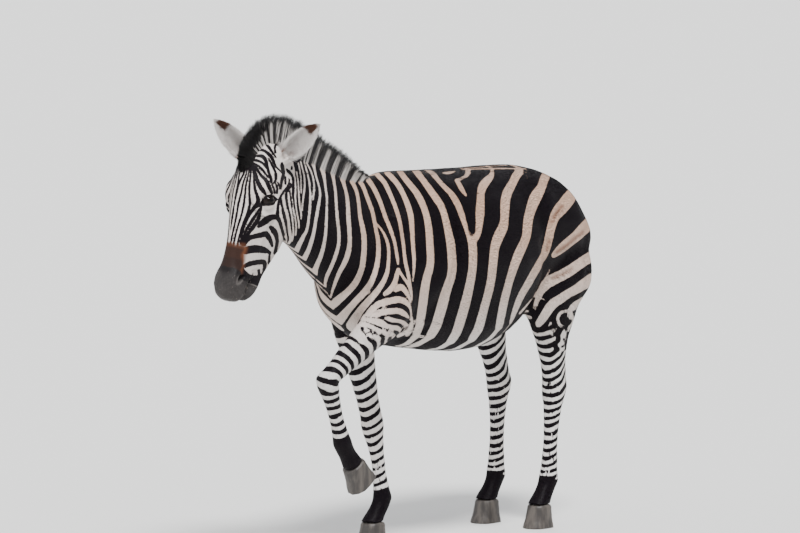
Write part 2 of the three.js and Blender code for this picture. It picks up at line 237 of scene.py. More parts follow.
def normalsOf(mesh):
    way = np.zeros(len(mesh.vertices) * 3, np.float32)
    mesh.vertex_normals.foreach_get("vector", way)
    return way.reshape(-1, 3).astype(float)


def edgesOf(mesh):
    ends = np.zeros(len(mesh.edges) * 2, np.int32)
    mesh.edges.foreach_get("vertices", ends)
    return ends.reshape(-1, 2)


def trianglesOf(mesh):
    mesh.calc_loop_triangles()
    corners = np.zeros(len(mesh.loop_triangles) * 3, np.int32)
    mesh.loop_triangles.foreach_get("vertices", corners)
    return corners.reshape(-1, 3)


def addValues(mesh, values):
    for name, value in values.items():
        kind, field = ("FLOAT_VECTOR", "vector") if np.ndim(value) == 2 else ("FLOAT", "value")
        attribute = mesh.attributes.new(name, kind, "POINT")
        attribute.data.foreach_set(field, value.astype(np.float32).ravel())


def shadeSmooth(mesh):
    mesh.polygons.foreach_set("use_smooth", np.ones(len(mesh.polygons), bool))


def relax(points, edges, weight, steps, hold=0.0):
    # moves each point towards its neighbours, and back by the share hold so that thin parts stay thick
    a, b = edges.T
    n = len(points)
    count = np.maximum(np.bincount(a, minlength=n) + np.bincount(b, minlength=n), 1)[:, None]
    for _ in range(steps):
        for share in (1.0, -hold) if hold else (1.0,):
            mean = np.stack([np.bincount(a, points[b, k], n) + np.bincount(b, points[a, k], n)
                             for k in range(3)], 1) / count
            points = points + (mean - points) * (weight * share)[:, None]
    return points


# the skin
skinMake = {
    "voxel": 0.0036, "quick": 0.0055,  # metres
    "overlap": 0.0013,  # each node grows by this, to close the thin cuts
    "dockEnd": 0.80,  # height where the flesh of the tail ends
    "triangles": {"body": 43000, "legs": 33000, "head": 18500},  # the head is then made four times finer
    "inset": {"body": 0.0028, "legs": 0.0026, "head": 0.0020, "muzzle": 0.0014, "ears": 0.0018},
}
fleshNodes = ["head", "neck", "trunk", "foreleg_left", "foreleg_right", "hindleg_left", "hindleg_right",
              "ear_left", "ear_right"]


def nodeVolume(bm, name, cutBelow=None):
    piece = bmesh.new()
    piece.from_mesh(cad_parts[name].data)
    bmesh.ops.remove_doubles(piece, verts=piece.verts, dist=1e-5)
    if cutBelow is not None:
        every = piece.verts[:] + piece.edges[:] + piece.faces[:]
        bmesh.ops.bisect_plane(piece, geom=every, plane_co=(0, 0, cutBelow), plane_no=(0, 0, -1), clear_outer=True)
        bmesh.ops.holes_fill(piece, edges=piece.edges)
    bmesh.ops.recalc_face_normals(piece, faces=piece.faces)
    piece.normal_update()
    for v in piece.verts:
        v.co += v.normal * skinMake["overlap"]
    held = meshFrom(piece, "held")
    bm.from_mesh(held)
    bpy.data.meshes.remove(held)


def rawSkin():
    bm = bmesh.new()
    for name in fleshNodes:
        nodeVolume(bm, name)
    nodeVolume(bm, "tail", skinMake["dockEnd"])
    thing = linked("volumes", meshFrom(bm, "volumes"))
    remesh = thing.modifiers.new("remesh", "REMESH")
    remesh.mode = "VOXEL"
    remesh.voxel_size = pick(skinMake, "voxel")
    remesh.adaptivity = 0
    return evaluated(thing)


def legShare(points):  # 1 on the free part of a leg, 0 on the trunk
    x, y, z = points.T
    standing = 1 - smoothStep(0.56, 0.72, z)
    lifted = (1 - smoothStep(-0.40, -0.34, x)) * (1 - smoothStep(0.74, 0.80, z)) * (y < 0)
    return np.maximum(standing, lifted) * ~isHead(points)


def smoothSkin(mesh):
    points, edges = pointsOf(mesh), edgesOf(mesh)
    leg, head = legShare(points), isHead(points)
    fine = (skinMake["voxel"] / pick(skinMake, "voxel")) ** 2
    inEar = inEars(points)
    weight = np.where(inEar, 0.2, 0.5)
    points = relax(points, edges, weight, round(30 * fine), 0.9)
    body = smoothStep(headEnd - 0.02, headEnd + 0.06, points[:, 0]) * (1 - leg) * 0.8
    points = relax(points, edges, body, round(36 * fine))
    points = relax(points, edges, (head & ~inEar) * 0.6, round(24 * fine))
    points = relax(points, edges, leg * 0.5, round(10 * fine))
    setPoints(mesh, points)


def lighten(mesh):  # fewer faces, region by region
    for region, target in skinMake["triangles"].items():
        points = pointsOf(mesh)
        fine, leg = isFine(points), legShare(points) > 0.5
        picked = {"body": ~fine & ~leg, "legs": ~fine & leg, "head": fine}[region]
        corners = trianglesOf(mesh)
        total = len(corners)
        own = np.count_nonzero(picked[corners[:, 0]])
        thing = linked("lighten", mesh)
        group = thing.vertex_groups.new(name=region)
        group.add(np.flatnonzero(picked).tolist(), 0.9, "REPLACE")  # below 1, so that short edges go first
        decimate = thing.modifiers.new("decimate", "DECIMATE")
        decimate.vertex_group = region
        decimate.vertex_group_factor = 1.0
        decimate.ratio = (total - max(own - target, 0)) / total
        mesh = evaluated(thing)
        print("skin", region, own, "to", target, "of", len(trianglesOf(mesh)))
    return mesh


def subdivideWhere(bm, chosen):
    bm.verts.ensure_lookup_table()
    co = np.array([v.co for v in bm.verts])
    picked = chosen(co)
    edges = [e for e in bm.edges if picked[e.verts[0].index] or picked[e.verts[1].index]]
    bmesh.ops.subdivide_edges(bm, edges=edges, cuts=1, use_grid_fill=True)
    bmesh.ops.triangulate(bm, faces=bm.faces)
    bm.verts.index_update()


eye = {  # in millimetres
    "along": 171, "out": -19, "side": 74, "radius": 25,
    "halfLength": 33, "upper": 15.5, "lower": 11.0,  # the opening of the lids
    "lid": 1.9, "depth": 2.6, "soft": 3.0,  # thickness of the lid, depth of the ball and how softly lid and brow join
}
nostril = {"along": 440, "out": -6, "slant": (0.85, 0.53), "half": (17, 7)}  # in millimetres


def eyeFrame(sign):
    # centre, outward way, way to the outer corner and way to the brow, for one side
    centre = headPoint(eye["along"], eye["out"], sign * eye["side"])
    outward = unit(sideWay * sign * 0.93 + faceWay * 0.26 - headAxis * 0.10)
    corner = -0.43 * headAxis - 0.85 * faceWay - 0.25 * sideWay * sign
    corner = unit(corner - outward * np.dot(corner, outward))
    brow = np.cross(outward, corner)
    if np.dot(brow, faceWay) < 0:
        brow = -brow
    return centre, outward, corner, brow


def eyePlaces(points, sign):
    centre, outward, corner, brow = eyeFrame(sign)
    rel = (points - centre) * 1000
    return rel @ corner, rel @ brow, rel @ outward


def bothEyes(points, floor=-8):  # places round each eye, and which points belong to it
    for sign in (-1, 1):
        a, b, h = eyePlaces(points, sign)
        yield a, b, (points[:, 1] * sign > 0) & (h > floor)


def nostrilPlaces(along, out):  # along and across the nostril, which slants
    c, s = nostril["slant"]
    a, b = along - nostril["along"], out - nostril["out"]
    return a * c + b * s, -a * s + b * c


def lidDistance(a, b):  # below 0 inside the opening, in millimetres
    bow = 1 - (a / eye["halfLength"]) ** 2
    upper = eye["upper"] * bow
    lower = -eye["lower"] * bow - 0.06 * a
    return np.maximum(b - upper, lower - b)


def refineHead(mesh):
    bm = bmesh.new()
    bm.from_mesh(mesh)
    bmesh.ops.triangulate(bm, faces=bm.faces)
    bm.verts.index_update()
    subdivideWhere(bm, isFine)
    # neck and left shoulder, whose lines are thin
    subdivideWhere(bm, lambda co: (co[:, 0] > -0.583) & (co[:, 0] < -0.03) & (co[:, 2] > 0.80) & (co[:, 1] < 0.0))

    def rimGap(co):  # millimetres to the rim of the lids on the same side
        return np.minimum(*[np.abs(lidDistance(*eyePlaces(co, s)[:2])) + 99 * (co[:, 1] * s < 0) for s in (-1, 1)])

    def nearEye(co):
        picked = np.zeros(len(co), bool)
        for sign in (-1, 1):
            a, b, h = eyePlaces(co, sign)
            picked |= (np.abs(lidDistance(a, b)) < 7) & (np.abs(a) < 30) & (h > 0)
        return picked

    def nearMouth(co):
        along, out, side = headPlaces(co)
        nose = np.hypot((along - nostril["along"]) / 26, (out - nostril["out"]) / 18) < 1
        nose &= np.abs(side) > 30
        return nose | ((mouthDistance(along, out) < 4) & (along > 415))

    subdivideWhere(bm, nearEye)
    subdivideWhere(bm, nearMouth)
    subdivideWhere(bm, lambda co: nearEye(co) & (rimGap(co) < 3))
    bm.to_mesh(mesh)
    bm.free()
    points, edges = pointsOf(mesh), edgesOf(mesh)
    inEar = inEars(points)
    setPoints(mesh, relax(points, edges, np.where(inEar, 0.2, 0.5) * isFine(points), 8, 0.92))
    print("head refined", len(trianglesOf(mesh)), "triangles")


mouthLine = [(412, -60), (440, -62), (470, -60), (492, -52), (506, -40)]  # along and out


def lineDistance(px, py, line):
    best = np.full(len(px), 1e9)
    for (x0, y0), (x1, y1) in zip(line, line[1:]):
        dx, dy = x1 - x0, y1 - y0
        t = np.clip(((px - x0) * dx + (py - y0) * dy) / (dx * dx + dy * dy), 0, 1)
        best = np.minimum(best, np.hypot(px - x0 - t * dx, py - y0 - t * dy))
    return best


def mouthDistance(along, out):
    return lineDistance(along, out, mouthLine)


# folds of the head: line in along and out, half width and height in millimetres, least distance from the middle
headFolds = [
    ([(205, -32), (260, -44), (330, -50)], 7, 3.2, 40),  # facial crest
    ([(215, -54), (270, -64), (330, -70)], 9, -2.6, 40),  # hollow under the crest
    ([(120, -18), (92, -26), (60, -34)], 7, 2.6, 52),  # arch behind the eye
    ([(112, 22), (92, 24)], 12, -4.5, 26),  # hollow over the eye
    ([(150, -118), (200, -128)], 34, 3.5, 42),  # cheek muscle
    ([(96, -80), (140, -62), (190, -52)], 8, -2.0, 50),  # front edge of the cheek muscle
    ([(340, -84), (300, -104), (262, -120)], 9, -2.2, 30),  # behind the lips
    ([(404, -54), (396, -66), (394, -80)], 4, -2.2, 28),  # creases at the corner of the mouth
    ([(388, -56), (380, -70), (379, -84)], 4, -1.5, 28),
    ([(424, 14), (448, 20), (470, 14)], 7, 2.4, 22),  # upper rim of the nostril
    ([(420, -22), (446, -30), (470, -24)], 7, 2.6, 30),  # lower rim of the nostril
    ([(300, 20), (350, 14), (400, 8)], 10, -1.8, 30),  # side of the nose bone
    ([(468, -78), (490, -78)], 12, 1.6, 0),  # lower lip
]
# folds of the body: line in x and z on the side, half width and height in metres, least |y|
bodyFolds = [
    ([(-0.23, 1.16), (-0.30, 1.02), (-0.33, 0.90)], 0.035, -0.010, 0.06),  # before the shoulder
    ([(-0.10, 1.14), (-0.14, 1.00), (-0.20, 0.88)], 0.050, 0.007, 0.08),  # shoulder blade
    ([(0.03, 1.12), (0.00, 0.98), (-0.04, 0.86)], 0.030, -0.008, 0.10),  # behind the shoulder
    ([(-0.06, 0.92), (-0.16, 0.84)], 0.050, 0.008, 0.10),  # upper arm muscle
    ([(-0.02, 0.76), (-0.09, 0.71)], 0.022, -0.008, 0.06),  # elbow fold
    ([(-0.46, 1.14), (-0.40, 1.02), (-0.36, 0.92)], 0.022, -0.007, 0.04),  # groove of the throat
    ([(0.46, 1.02), (0.50, 0.90), (0.53, 0.80)], 0.028, -0.009, 0.08),  # flank fold
    ([(0.44, 1.16), (0.47, 1.10)], 0.050, -0.009, 0.08),  # hollow of the flank
    ([(0.53, 1.14), (0.56, 1.18)], 0.035, 0.007, 0.10),  # point of the hip
    ([(0.74, 1.04), (0.75, 0.90), (0.73, 0.78)], 0.022, -0.005, 0.09),  # between the thigh muscles
    ([(0.81, 0.97), (0.80, 0.76)], 0.100, 0.016, 0.05),  # buttock
    ([(0.81, 1.12), (0.85, 1.08)], 0.060, -0.007, 0.02),  # fall of the croup
    ([(0.62, 0.98), (0.63, 0.86)], 0.060, 0.006, 0.10),  # thigh
]


def shapeSkin(mesh):
    points, normals = pointsOf(mesh), normalsOf(mesh)
    x, y, z = points.T
    along, out, side = headPlaces(points)
    head = isHead(points)
    inEar = inEars(points, 0.05)
    lift = np.zeros(len(points))
    for line, width, height, inner in headFolds:
        wide = smoothStep(inner - 12, inner + 6, np.abs(side)) if inner else 1
        lift += head * ~inEar * wide * np.exp(-(lineDistance(along, out, line) / width) ** 2) * height / 1000
    for line, width, height, inner in bodyFolds:
        wide = smoothStep(inner - 0.03, inner + 0.02, np.abs(y))
        lift += ~head * wide * np.exp(-(lineDistance(x, z, line) / width) ** 2) * height
    groove = np.exp(-(mouthDistance(along, out) / 2.0) ** 2) * (along > 405)
    lift -= head * groove * 0.0036
    lips = np.exp(-((mouthDistance(along, out) - 7) / 4.0) ** 2) * (along > 410)
    lift += head * lips * 0.0014
    a, b = nostrilPlaces(along, out)
    hollow = np.exp(-(((a - 1) / 17) ** 2 + ((b + 0.02 * a * a) / 6.0) ** 2) ** 1.5)
    lift -= head * (np.abs(side) > 24) * hollow * 0.011
    # wrinkles of the muzzle and fine unevenness all over
    lift += head * smoothStep(400, 440, along) * ripple(points, 0.006, 2.0) * 0.0004
    lift += ~inEar * ripple(points, 0.05, 1.0) * np.where(head, 0.0006, 0.0014)
    leg = legShare(points)
    lift += leg * ripple(points, 0.022, 4.0) * 0.0009
    # the coat's depth
    inset = skinMake["inset"]
    muzzle = smoothStep(400, 440, along) * head
    depth = np.where(head, inset["head"], inset["body"] + (inset["legs"] - inset["body"]) * leg)
    depth = depth + (inset["muzzle"] - depth) * muzzle
    depth = np.where(inEar, inset["ears"], depth)
    setPoints(mesh, points + normals * (lift - depth)[:, None])


def openEyes(mesh):
    points = pointsOf(mesh)
    for sign in (-1, 1):
        centre, outward, corner, brow = eyeFrame(sign)
        a, b, h = eyePlaces(points, sign)
        near = (np.hypot(a, b) < 62) & (h > -12) & (points[:, 1] * sign > 0)
        d = lidDistance(a, b)
        # points close to the rim slide onto it
        snap = near & (np.abs(d) < 0.9) & (np.abs(a) < eye["halfLength"] - 1)
        upper = b > -0.03 * a
        b = np.where(snap, b - np.where(upper, d, -d), b)
        d = np.where(snap, np.where(d < 0, -0.02, 0.02), d)
        r = np.hypot(a, b)
        ball = eye["radius"]
        shell = np.sqrt(np.maximum((ball + eye["lid"]) ** 2 - r ** 2, 0))
        # the skin round the eye comes down onto the ball
        fall = 1 - smoothStep(20, 46, np.hypot(a, b * 1.25))
        orbit = h + (np.minimum(h, shell + 1.5) - h) * fall * 0.75
        soft = eye["soft"]
        rise = np.maximum(shell - orbit, -soft) + soft
        blend = rise ** 2 / (4 * soft) * (rise < 2 * soft) + (shell - orbit) * (rise >= 2 * soft)
        lidPart = np.where(shell > orbit - soft, orbit + blend, orbit)
        crease = -1.5 * np.exp(-((d - 7.5) / 1.6) ** 2) * (b > 0) - 0.9 * np.exp(-((d - 6.0) / 1.4) ** 2) * (b < 0)
        crease -= 0.6 * np.exp(-((d - 11.0) / 1.8) ** 2) * (b < 0)
        rim = 0.9 * np.exp(-((d - 1.6) / 1.3) ** 2)
        lidPart = lidPart + (crease + rim) * (np.abs(a) < 34) * (r < 40)
        inner = np.sqrt(np.maximum((ball - eye["depth"]) ** 2 - r ** 2, 0))
        inner = np.where(r > ball - 4, np.maximum(inner, lidPart - 5.0), inner)
        new = np.where(d < 0, inner, lidPart)
        move = points.copy()
        move[near] = (centre + (np.outer(a, corner) + np.outer(b, brow) + np.outer(new, outward)) / 1000)[near]
        points = np.where(near[:, None], move, points)
    setPoints(mesh, points)


def makeSkin():
    mesh = rawSkin()
    print("skin remeshed", len(mesh.vertices))
    smoothSkin(mesh)
    mesh = lighten(mesh)
    refineHead(mesh)
    shapeSkin(mesh)
    openEyes(mesh)
    mesh.update()
    shadeSmooth(mesh)
    return mesh


skinMesh = makeSkin()
skinPoints = pointsOf(skinMesh)
skinNormals = normalsOf(skinMesh)
skinTriangles = trianglesOf(skinMesh)
skinTree = BVHTree.FromPolygons(skinPoints.tolist(), skinTriangles.tolist())
print("skin shaped", len(skinTriangles), "triangles")

# the stripes
# each stroke is drawn on the body as the camera sees it: across, down and full width at each of its points,
# in pixels of the view
whiteStrokes = {
    "neck": [
        [303.8,161,1, 306,168,1.3, 308,176,1.4, 309.6,184,1.7, 310.3,193,2, 310.2,203,2.2, 309.6,211,2.4,
         308.4,221,2.4, 306.8,230,2.6, 303.6,236,3.4, 300.6,242,4.2, 297.6,248,5, 295.5,253,5, 296,257,2.5],
        [305,160,1.2, 309.7,168.3,1.3, 312.4,175.3,1.4, 313.8,182,1.6, 314.2,188,1.7, 313.7,194,1.8, 312.9,200,1.4],
        [313,158,5, 313.2,163,4, 314.3,168.5,2.4, 315.8,175,1.9, 317.7,181.7,1.6, 319.5,188.3,1.7, 320.1,194.5,2.1,
         319.2,201,2.5, 318,208,2.7, 316.8,215,3, 315.6,222,3, 314.4,229,3.1, 313,236,3.5, 311.2,242,3.8,
         309.1,248.5,4, 306.4,254.5,4.6, 303.6,260.5,4.8, 303.6,266,4],
        [321.5,163,6, 322.3,169,4.8, 323.8,175,3.6, 324.9,182,2.5, 325.8,189,2.1, 326.8,196,2.2, 327,203,2.1,
         326.7,212,2.3, 326.4,221,2.7, 326,229,2.8, 325.3,236,3, 324.3,242.5,3.2, 322.9,249,3.6, 321,255.5,4,
         318.6,261.5,4.4, 315.8,268,5, 314.3,274,6.5, 316.5,279,2],
        [331.8,167,6, 332.3,172,4.8, 333.2,177,3.6, 334.2,183,2.8, 335.2,189,2.7, 335.8,196,2.7, 336.3,204,2.7,
         336.9,213,2.8, 337.7,222,3, 338.8,231,3, 339,239,3.1, 338.3,246,3.3, 336.6,252.5,3.5, 334.4,259,3.5,
         331.8,265.5,3.5, 329,271.5,3.6, 326.6,277,3.4, 325.2,283,2.8, 325.5,286,2],
        [341,169,7.5, 342,176,6.5, 343.2,181.5,4.3, 344.6,186.5,3.4, 346.2,192.5,3.3, 347.3,199,3.6, 348.1,208,4,
         348.4,218,4.2, 349.2,228,4, 349.8,238,4, 349.5,245,4.3, 348.5,251.5,4.8, 346.6,258,5, 343.6,264.8,4.8,
         340,271.2,4.2, 337,278,3.6, 334.4,285,3, 332.4,291,2.4, 330.3,298,1.5],
        [350.5,171,7, 351.3,177,6.8, 352.4,182,4.8, 354.5,186.5,3.8, 356.5,191.5,3.5, 358,198,3.4, 359.1,207,3.6,
         360.4,218,4, 362.4,226.5,4.6, 363.8,235,5, 364.3,244,5.2, 364,252,5.2, 363.3,259,5.4, 362.4,266,5.4,
         360.4,272.5,5.6, 357.6,279,6, 353.6,285.5,6.4, 348.6,290.8,6.4, 343.5,295.5,7, 338.5,299.8,8,
         333.5,304.5,7.5, 330.6,309.5,4, 329,313.5,2.5],
        [357.6,176,4.5, 359.3,180.8,4.4, 362.2,185,4.2, 364.8,190.5,4, 366.5,195.5,4, 368.6,201,4.1, 371,207.5,4.3,
         372.8,213,4.2, 374.2,220,4, 375.4,227,3.6, 377,234.5,4, 378.2,242,4.3, 378.5,251,4.4, 377.8,260,4.6,
         375.8,270,5, 372.6,279,5.4, 368.9,286,6, 364.2,292.5,6.5, 358.6,298.2,6.5, 353.3,304,6.6, 348,310,7.2,
         343,316,8.6, 338.8,321,9.6, 336.2,326,8, 334.8,331,5],
        [374.4,221.5,2, 378,225.5,1.8, 381.8,230,2, 384.8,235.5,2.4, 387,241,2.8, 388.4,247,3, 388.7,254,3.1,
         388.5,262,3.2, 387.6,270,3.8, 385.6,277,4.4, 382.4,283.5,5, 378,290,5.5, 373.4,295.6,6.2, 368.4,301,6.8,
         363.6,307,7.4, 359.2,313,8.5, 355.5,319,10, 352,326,12],
        [366.4,177,4.5, 369,181,5.4, 372.2,185.5,4.6, 375,190.5,4.6, 377.6,196,4.5, 380.2,202,4.3, 382.6,209,4,
         385.4,217,4, 388.6,225,3.8, 391.8,233,3.5, 394.4,241.5,3.2, 396.2,250.5,3, 397.5,259,3, 398,264,1.8],
        [374.5,171.5,5, 379.5,177,4.8, 384.5,182.5,4.6, 388,189.5,4.4, 391.6,197.5,4, 394.8,205.5,3.9,
         397.6,213.5,3.8, 399.8,222,3.7, 401.4,231,3.5, 402.9,241,3.3, 404.1,251,3.2, 405.1,260,3.3, 406.9,268.5,3.5,
         408.6,276.5,3.3, 410,284.5,3, 411.3,293,2.4, 411.8,300,1.4],
        [383,169.5,5, 387.5,173,5.5, 392.4,178,5.6, 397.4,184,5.2, 401.4,190.5,5, 404.8,197.5,5, 407.7,205,5.4,
         410,212.5,5.5, 411.4,220,5.2, 412.1,230,4.4, 412.7,240,3.8, 413.4,250,3.8, 414,258,3.5, 414,266,2.8,
         413.6,274,2, 412.8,281,1.2],
        [287,248,1, 297,259,1, 304.5,267.8,1, 311,274,1, 318,281,1, 326,287,1],
        [317.5,283,1, 317.7,289,1.2, 319,294,1.6, 321.5,298.5,3, 325,302,4.5, 329,304.5,6],
        [314.2,281,1.2, 314.3,290,1.2, 316,297,1.4, 319,304.5,1.6, 322,308.5,1.8, 328,315,2, 331,321,3],
    ],
    "trunk": [
        [396.5,168.5,6, 400.5,172.5,6, 405,178.5,6, 410.5,185.2,6.2, 416,192,6.4, 420.3,199.5,6.8, 423.9,207.5,6.5,
         426.4,215.5,6.5, 428,223.5,6.7, 429.1,232,7, 429.7,241,7.2, 430.2,250,7.4, 430.6,259,7.5, 429.9,267,7.7,
         427.6,275,8.2, 425.5,284,8.5, 423.9,295,8.9, 422.4,307,9, 420.8,318,8.6, 419,328,8, 415.5,336,7],
        [413.5,168.8,7.5, 417,172.3,7.6, 421.4,178,6.6, 426.8,185.2,6.7, 432,192.5,7, 437.2,199.8,7.4, 441.6,207,6.8,
         444.4,215,6.7, 446.4,223,7.1, 448.3,232,7.8, 450.3,241,8.6, 451.4,251,8.8, 452.2,261,9, 452.2,269,9,
         450.8,277.5,8.9, 448,285.5,9.2, 445.2,294,9.8, 442.4,305,10.4, 439.4,315,10.4, 436,326,10.2, 431,335,9],
        [428.5,171.3,4, 432,172.8,6, 436,177.5,5.4, 440.3,182.4,5, 445,187.5,5.1, 450,192.3,5.6, 453.8,197.3,6.5,
         457,203,6.5, 459.7,209,6.2, 462,215.5,5.8, 464,222,5, 466.5,229,4.4, 469.5,235.5,6.5, 472.2,242,8.6,
         473,251,8.4, 473,261,8.4, 472.4,270,8.3, 470.9,279,8.6, 468.9,289,9, 466.3,300,9.6, 463.3,311,9.8,
         460,322,10, 456.3,333,9.4, 451,341,8.6],
        [492.4,169,2.5, 492.2,173,4, 490.4,177,6.5, 486.6,181,8.2, 483,186,8.8, 481,192,7.8, 480.6,200,8, 480.2,208,9,
         480,215,8.8, 479.5,222,7.4, 478.8,229,6.6, 477.6,234.5,6, 474.5,240,6],
        [520.5,170,6, 519,172.3,8.4, 515.8,176.5,8.5, 513.3,181.8,8.2, 510.4,187,9, 507.6,192.3,9.4, 505.8,198,9.7,
         505,205,10, 504.8,213,9, 504.3,221,8.8, 502.8,228,10, 499.4,234.5,10.5, 496.6,241.5,10.2, 494.5,249,9.1,
         493.7,257,9, 492.8,266,8.9, 491.6,277,8.6, 489.6,288,8.5, 486.8,299,8.5, 484,309,8.7, 481.2,319.5,9.3,
         477.8,330,9.6, 472,339,8],
        [547.5,172.5,7, 545.5,176.3,9, 543.6,181,9, 541.6,187,9, 538.5,192.5,11, 535.2,198,12, 532.4,205,11.2,
         530,212.5,10.5, 528.2,220,10.3, 527.4,228,9.8, 526.4,236,9.2, 524,243,9.3, 520.6,250,10, 517.4,257.5,9.8,
         514.6,265,9.3, 511.8,273.5,8.5, 508.8,283.5,8.1, 506,294,8.5, 503.6,304,8.6, 501.5,315,8.5, 499,327,8],
        [572,194,12, 568.5,199,13.5, 564,205,13.5, 559,210.5,13, 554.8,216.5,10.5, 552.5,223.5,9, 550.3,231,9,
         548.7,239,9, 546.6,247,8.9, 543.8,255,8.5, 540,262.8,8.6, 535.8,270,8.8, 531.5,277.5,8.5, 527.5,285,8.6,
         523,292.5,8.1, 519.2,300,7.5, 515.4,309.5,6.4, 512,319,4.4, 510.5,323,2.5],
        [442.5,173,1, 446,173,3.2, 450,172.6,3.6, 455.5,171.3,1],
        [468,169.5,4.5, 468,173,5, 465.5,176.5,3.4, 460,179,3, 457,180.8,4.5],
        [457,180.5,4.5, 459.5,185,5, 462.5,190.5,4.4, 466.5,196,2],
        [461,169.7,1.2, 480,169,1.6, 500,168.5,1.8, 520,168.7,1.4, 532,169,1],
    ],
    "rump": [
        [590,222,12, 585,227.5,13, 576.5,236.2,11, 566.5,244.3,10.5, 559,250.5,9, 554,255,6],
        [596,253,11, 590,257,11, 580,263.6,10.6, 571.3,269.8,11, 561.3,275.6,11, 552,280,11.5, 545.5,284.8,10.5,
         540.5,292,7, 537,300,5, 535,308,4],
        [594,277,12, 587.5,282,12.5, 577.5,288.7,10, 568.8,293.3,9, 560.5,299,9.5, 553,303.8,10, 547.8,310.5,9.6,
         543,318,9, 538.5,324,7],
        [581,300,6, 576,305,8.5, 571.5,308,6],
        [557.5,319.3,3, 559.5,313.8,3, 565.4,311.3,3, 571.3,313.8,3, 573.4,319.3,3, 577,321,3],
        [557.5,319.3,3, 559.5,325,3, 565.4,327.3,3, 571.3,325,3, 573.4,319.3,3], [576,331.5,5, 568,338,6, 560,345,5],
        [567,350,6, 560,354.5,6.5, 556,358,5], [564,362,6, 555,367,6.5, 551,369,5], [562,376,6, 550,377,6],
        [549.5,270,1.6, 545,279,1.8, 539,289,2, 534,296,2, 527,305,2.5, 520,313,3],
    ],
    "shoulder": [
        [398.2,268.8,2.5, 397.3,273,4.2, 396,279,4.6, 393.6,285,5, 389.5,290.5,5.6, 384.8,294,4],
        [398.5,269,2.5, 401,274,2.6, 404.5,279,2.8, 408,284,3, 410.6,290,2.8, 411.6,297,1.8],
        [395.5,290.5,3, 398,288.5,5.5, 401,287,6, 404.5,290,5, 407.5,294.5,3.6, 409.7,299,2.4, 411,303,1.2],
        [362.5,319.5,4, 366.5,314.5,5, 371,309.8,6, 376,306.2,7, 381.5,303.5,7, 387,301.8,7, 392,300.8,6.5,
         397,299.6,6.5, 402,300.2,6, 406.3,302.8,5.4, 409,306.5,4, 410.4,312,3, 411,318,3.6, 411.2,324,4.2,
         410.2,330,4.6, 407.5,335,4.5],
        [366,318.5,4, 371.5,315.2,7, 378,313.2,7.4, 384,312.3,7, 390,311.4,6, 396,310.8,5.6, 401,311.9,5.6,
         405,314.5,5, 408,318,3.5],
        [386.5,318,4, 391.5,320,4.5, 397,321.5,5, 402.5,323,5, 406.3,326,5, 405.5,330.5,5, 402.5,333.8,4.5,
         398.5,336,4],
        [363,321,3, 369,320.5,4, 375,321.5,5.5, 381,323,7, 387,325.6,6.5, 392.5,327.3,5, 397.5,328.3,4.5,
         400.3,330.8,3.5],
        [361,324,5, 366,325,5, 371,327,5, 376,329.8,5, 381,332.4,5.5, 386,334.2,5.4, 391,334.8,4.8, 394.5,336,3],
        [374,334.5,3, 378,337.5,5, 382,340,5, 384,342.5,4], [366.5,331,5, 371,336,6, 373,341.5,5],
        [352,326,12, 356,334,14, 362,342,14],
    ],
    "throat": [
        [290,181,1.2, 289.3,186.5,1.4, 286.5,190,1.5, 284.2,196,1.8, 283.8,201,2.8, 285.2,207,3, 286.8,213,2.9,
         288.2,220,2.8, 289.2,228,2.7, 290.2,235,2.7, 290.6,240,2.6, 288,245,1.5],
        [288.5,193,1.6, 289,200,1.9, 290.2,208,1.7, 291.6,214,1.5, 292.6,221,1.4, 293.2,228,1.4, 293.3,235,1.5,
         292,241,1.3],
        [293.2,178,1.2, 291.3,184,1.3, 291.5,192,1.4, 292,200,1.5, 293,208,1.5, 294.6,215,1.4, 295.7,222,1.3,
         296.2,228,1.3, 295.6,235,1.5],
        [293.5,172,1.2, 295.2,180,1.3, 295.6,188,1.3, 295.2,195,1.5, 295.6,202,1.4, 296.4,209,1.3, 297.4,215,1.3,
         298.6,221,1.5, 299,228,1.2],
        [296.6,172,1.2, 298,180,1.3, 298.6,188,1.3, 298.8,195,1.5, 299.3,202,1.5, 300,208,1.4, 301.2,214,1.6,
         301,219,1.2],
        [300.6,161.5,1.2, 302.6,169,1.3, 304.2,176,1.4, 304.8,184,1.6, 304.2,191,1.7, 303.4,197,1.5, 302.6,204,1.4,
         302,210,1.8],
        [298.3,163,1.2, 299.8,170,1.2, 300.9,178,1.2, 301.2,186,1.1, 301.3,193,1],
        [279.8,202,1.8, 279.7,208,2.8, 280.3,215,3.5, 282.2,221.5,3.2, 283.9,228,3.2, 285.3,234,2.5, 286,240,2.2,
         285.5,245,2],
        [277.7,228,2.5, 279.2,235,3, 281.3,240,4.5],
    ],
    "face": [
        [244,172,20, 243,190,34, 243,210,34, 242,230,30, 238,246,20],
        [266,147,20, 265,160,28, 268,175,28, 268,195,28, 266,215,30, 266,235,34, 262,250,34, 256,262,26],
        [279,146,14, 283,152,18, 284,162,20, 285,172,20, 286,182,18],
        [276,150,12, 278,165,12, 279,180,12, 280,194,12],
    ],
}
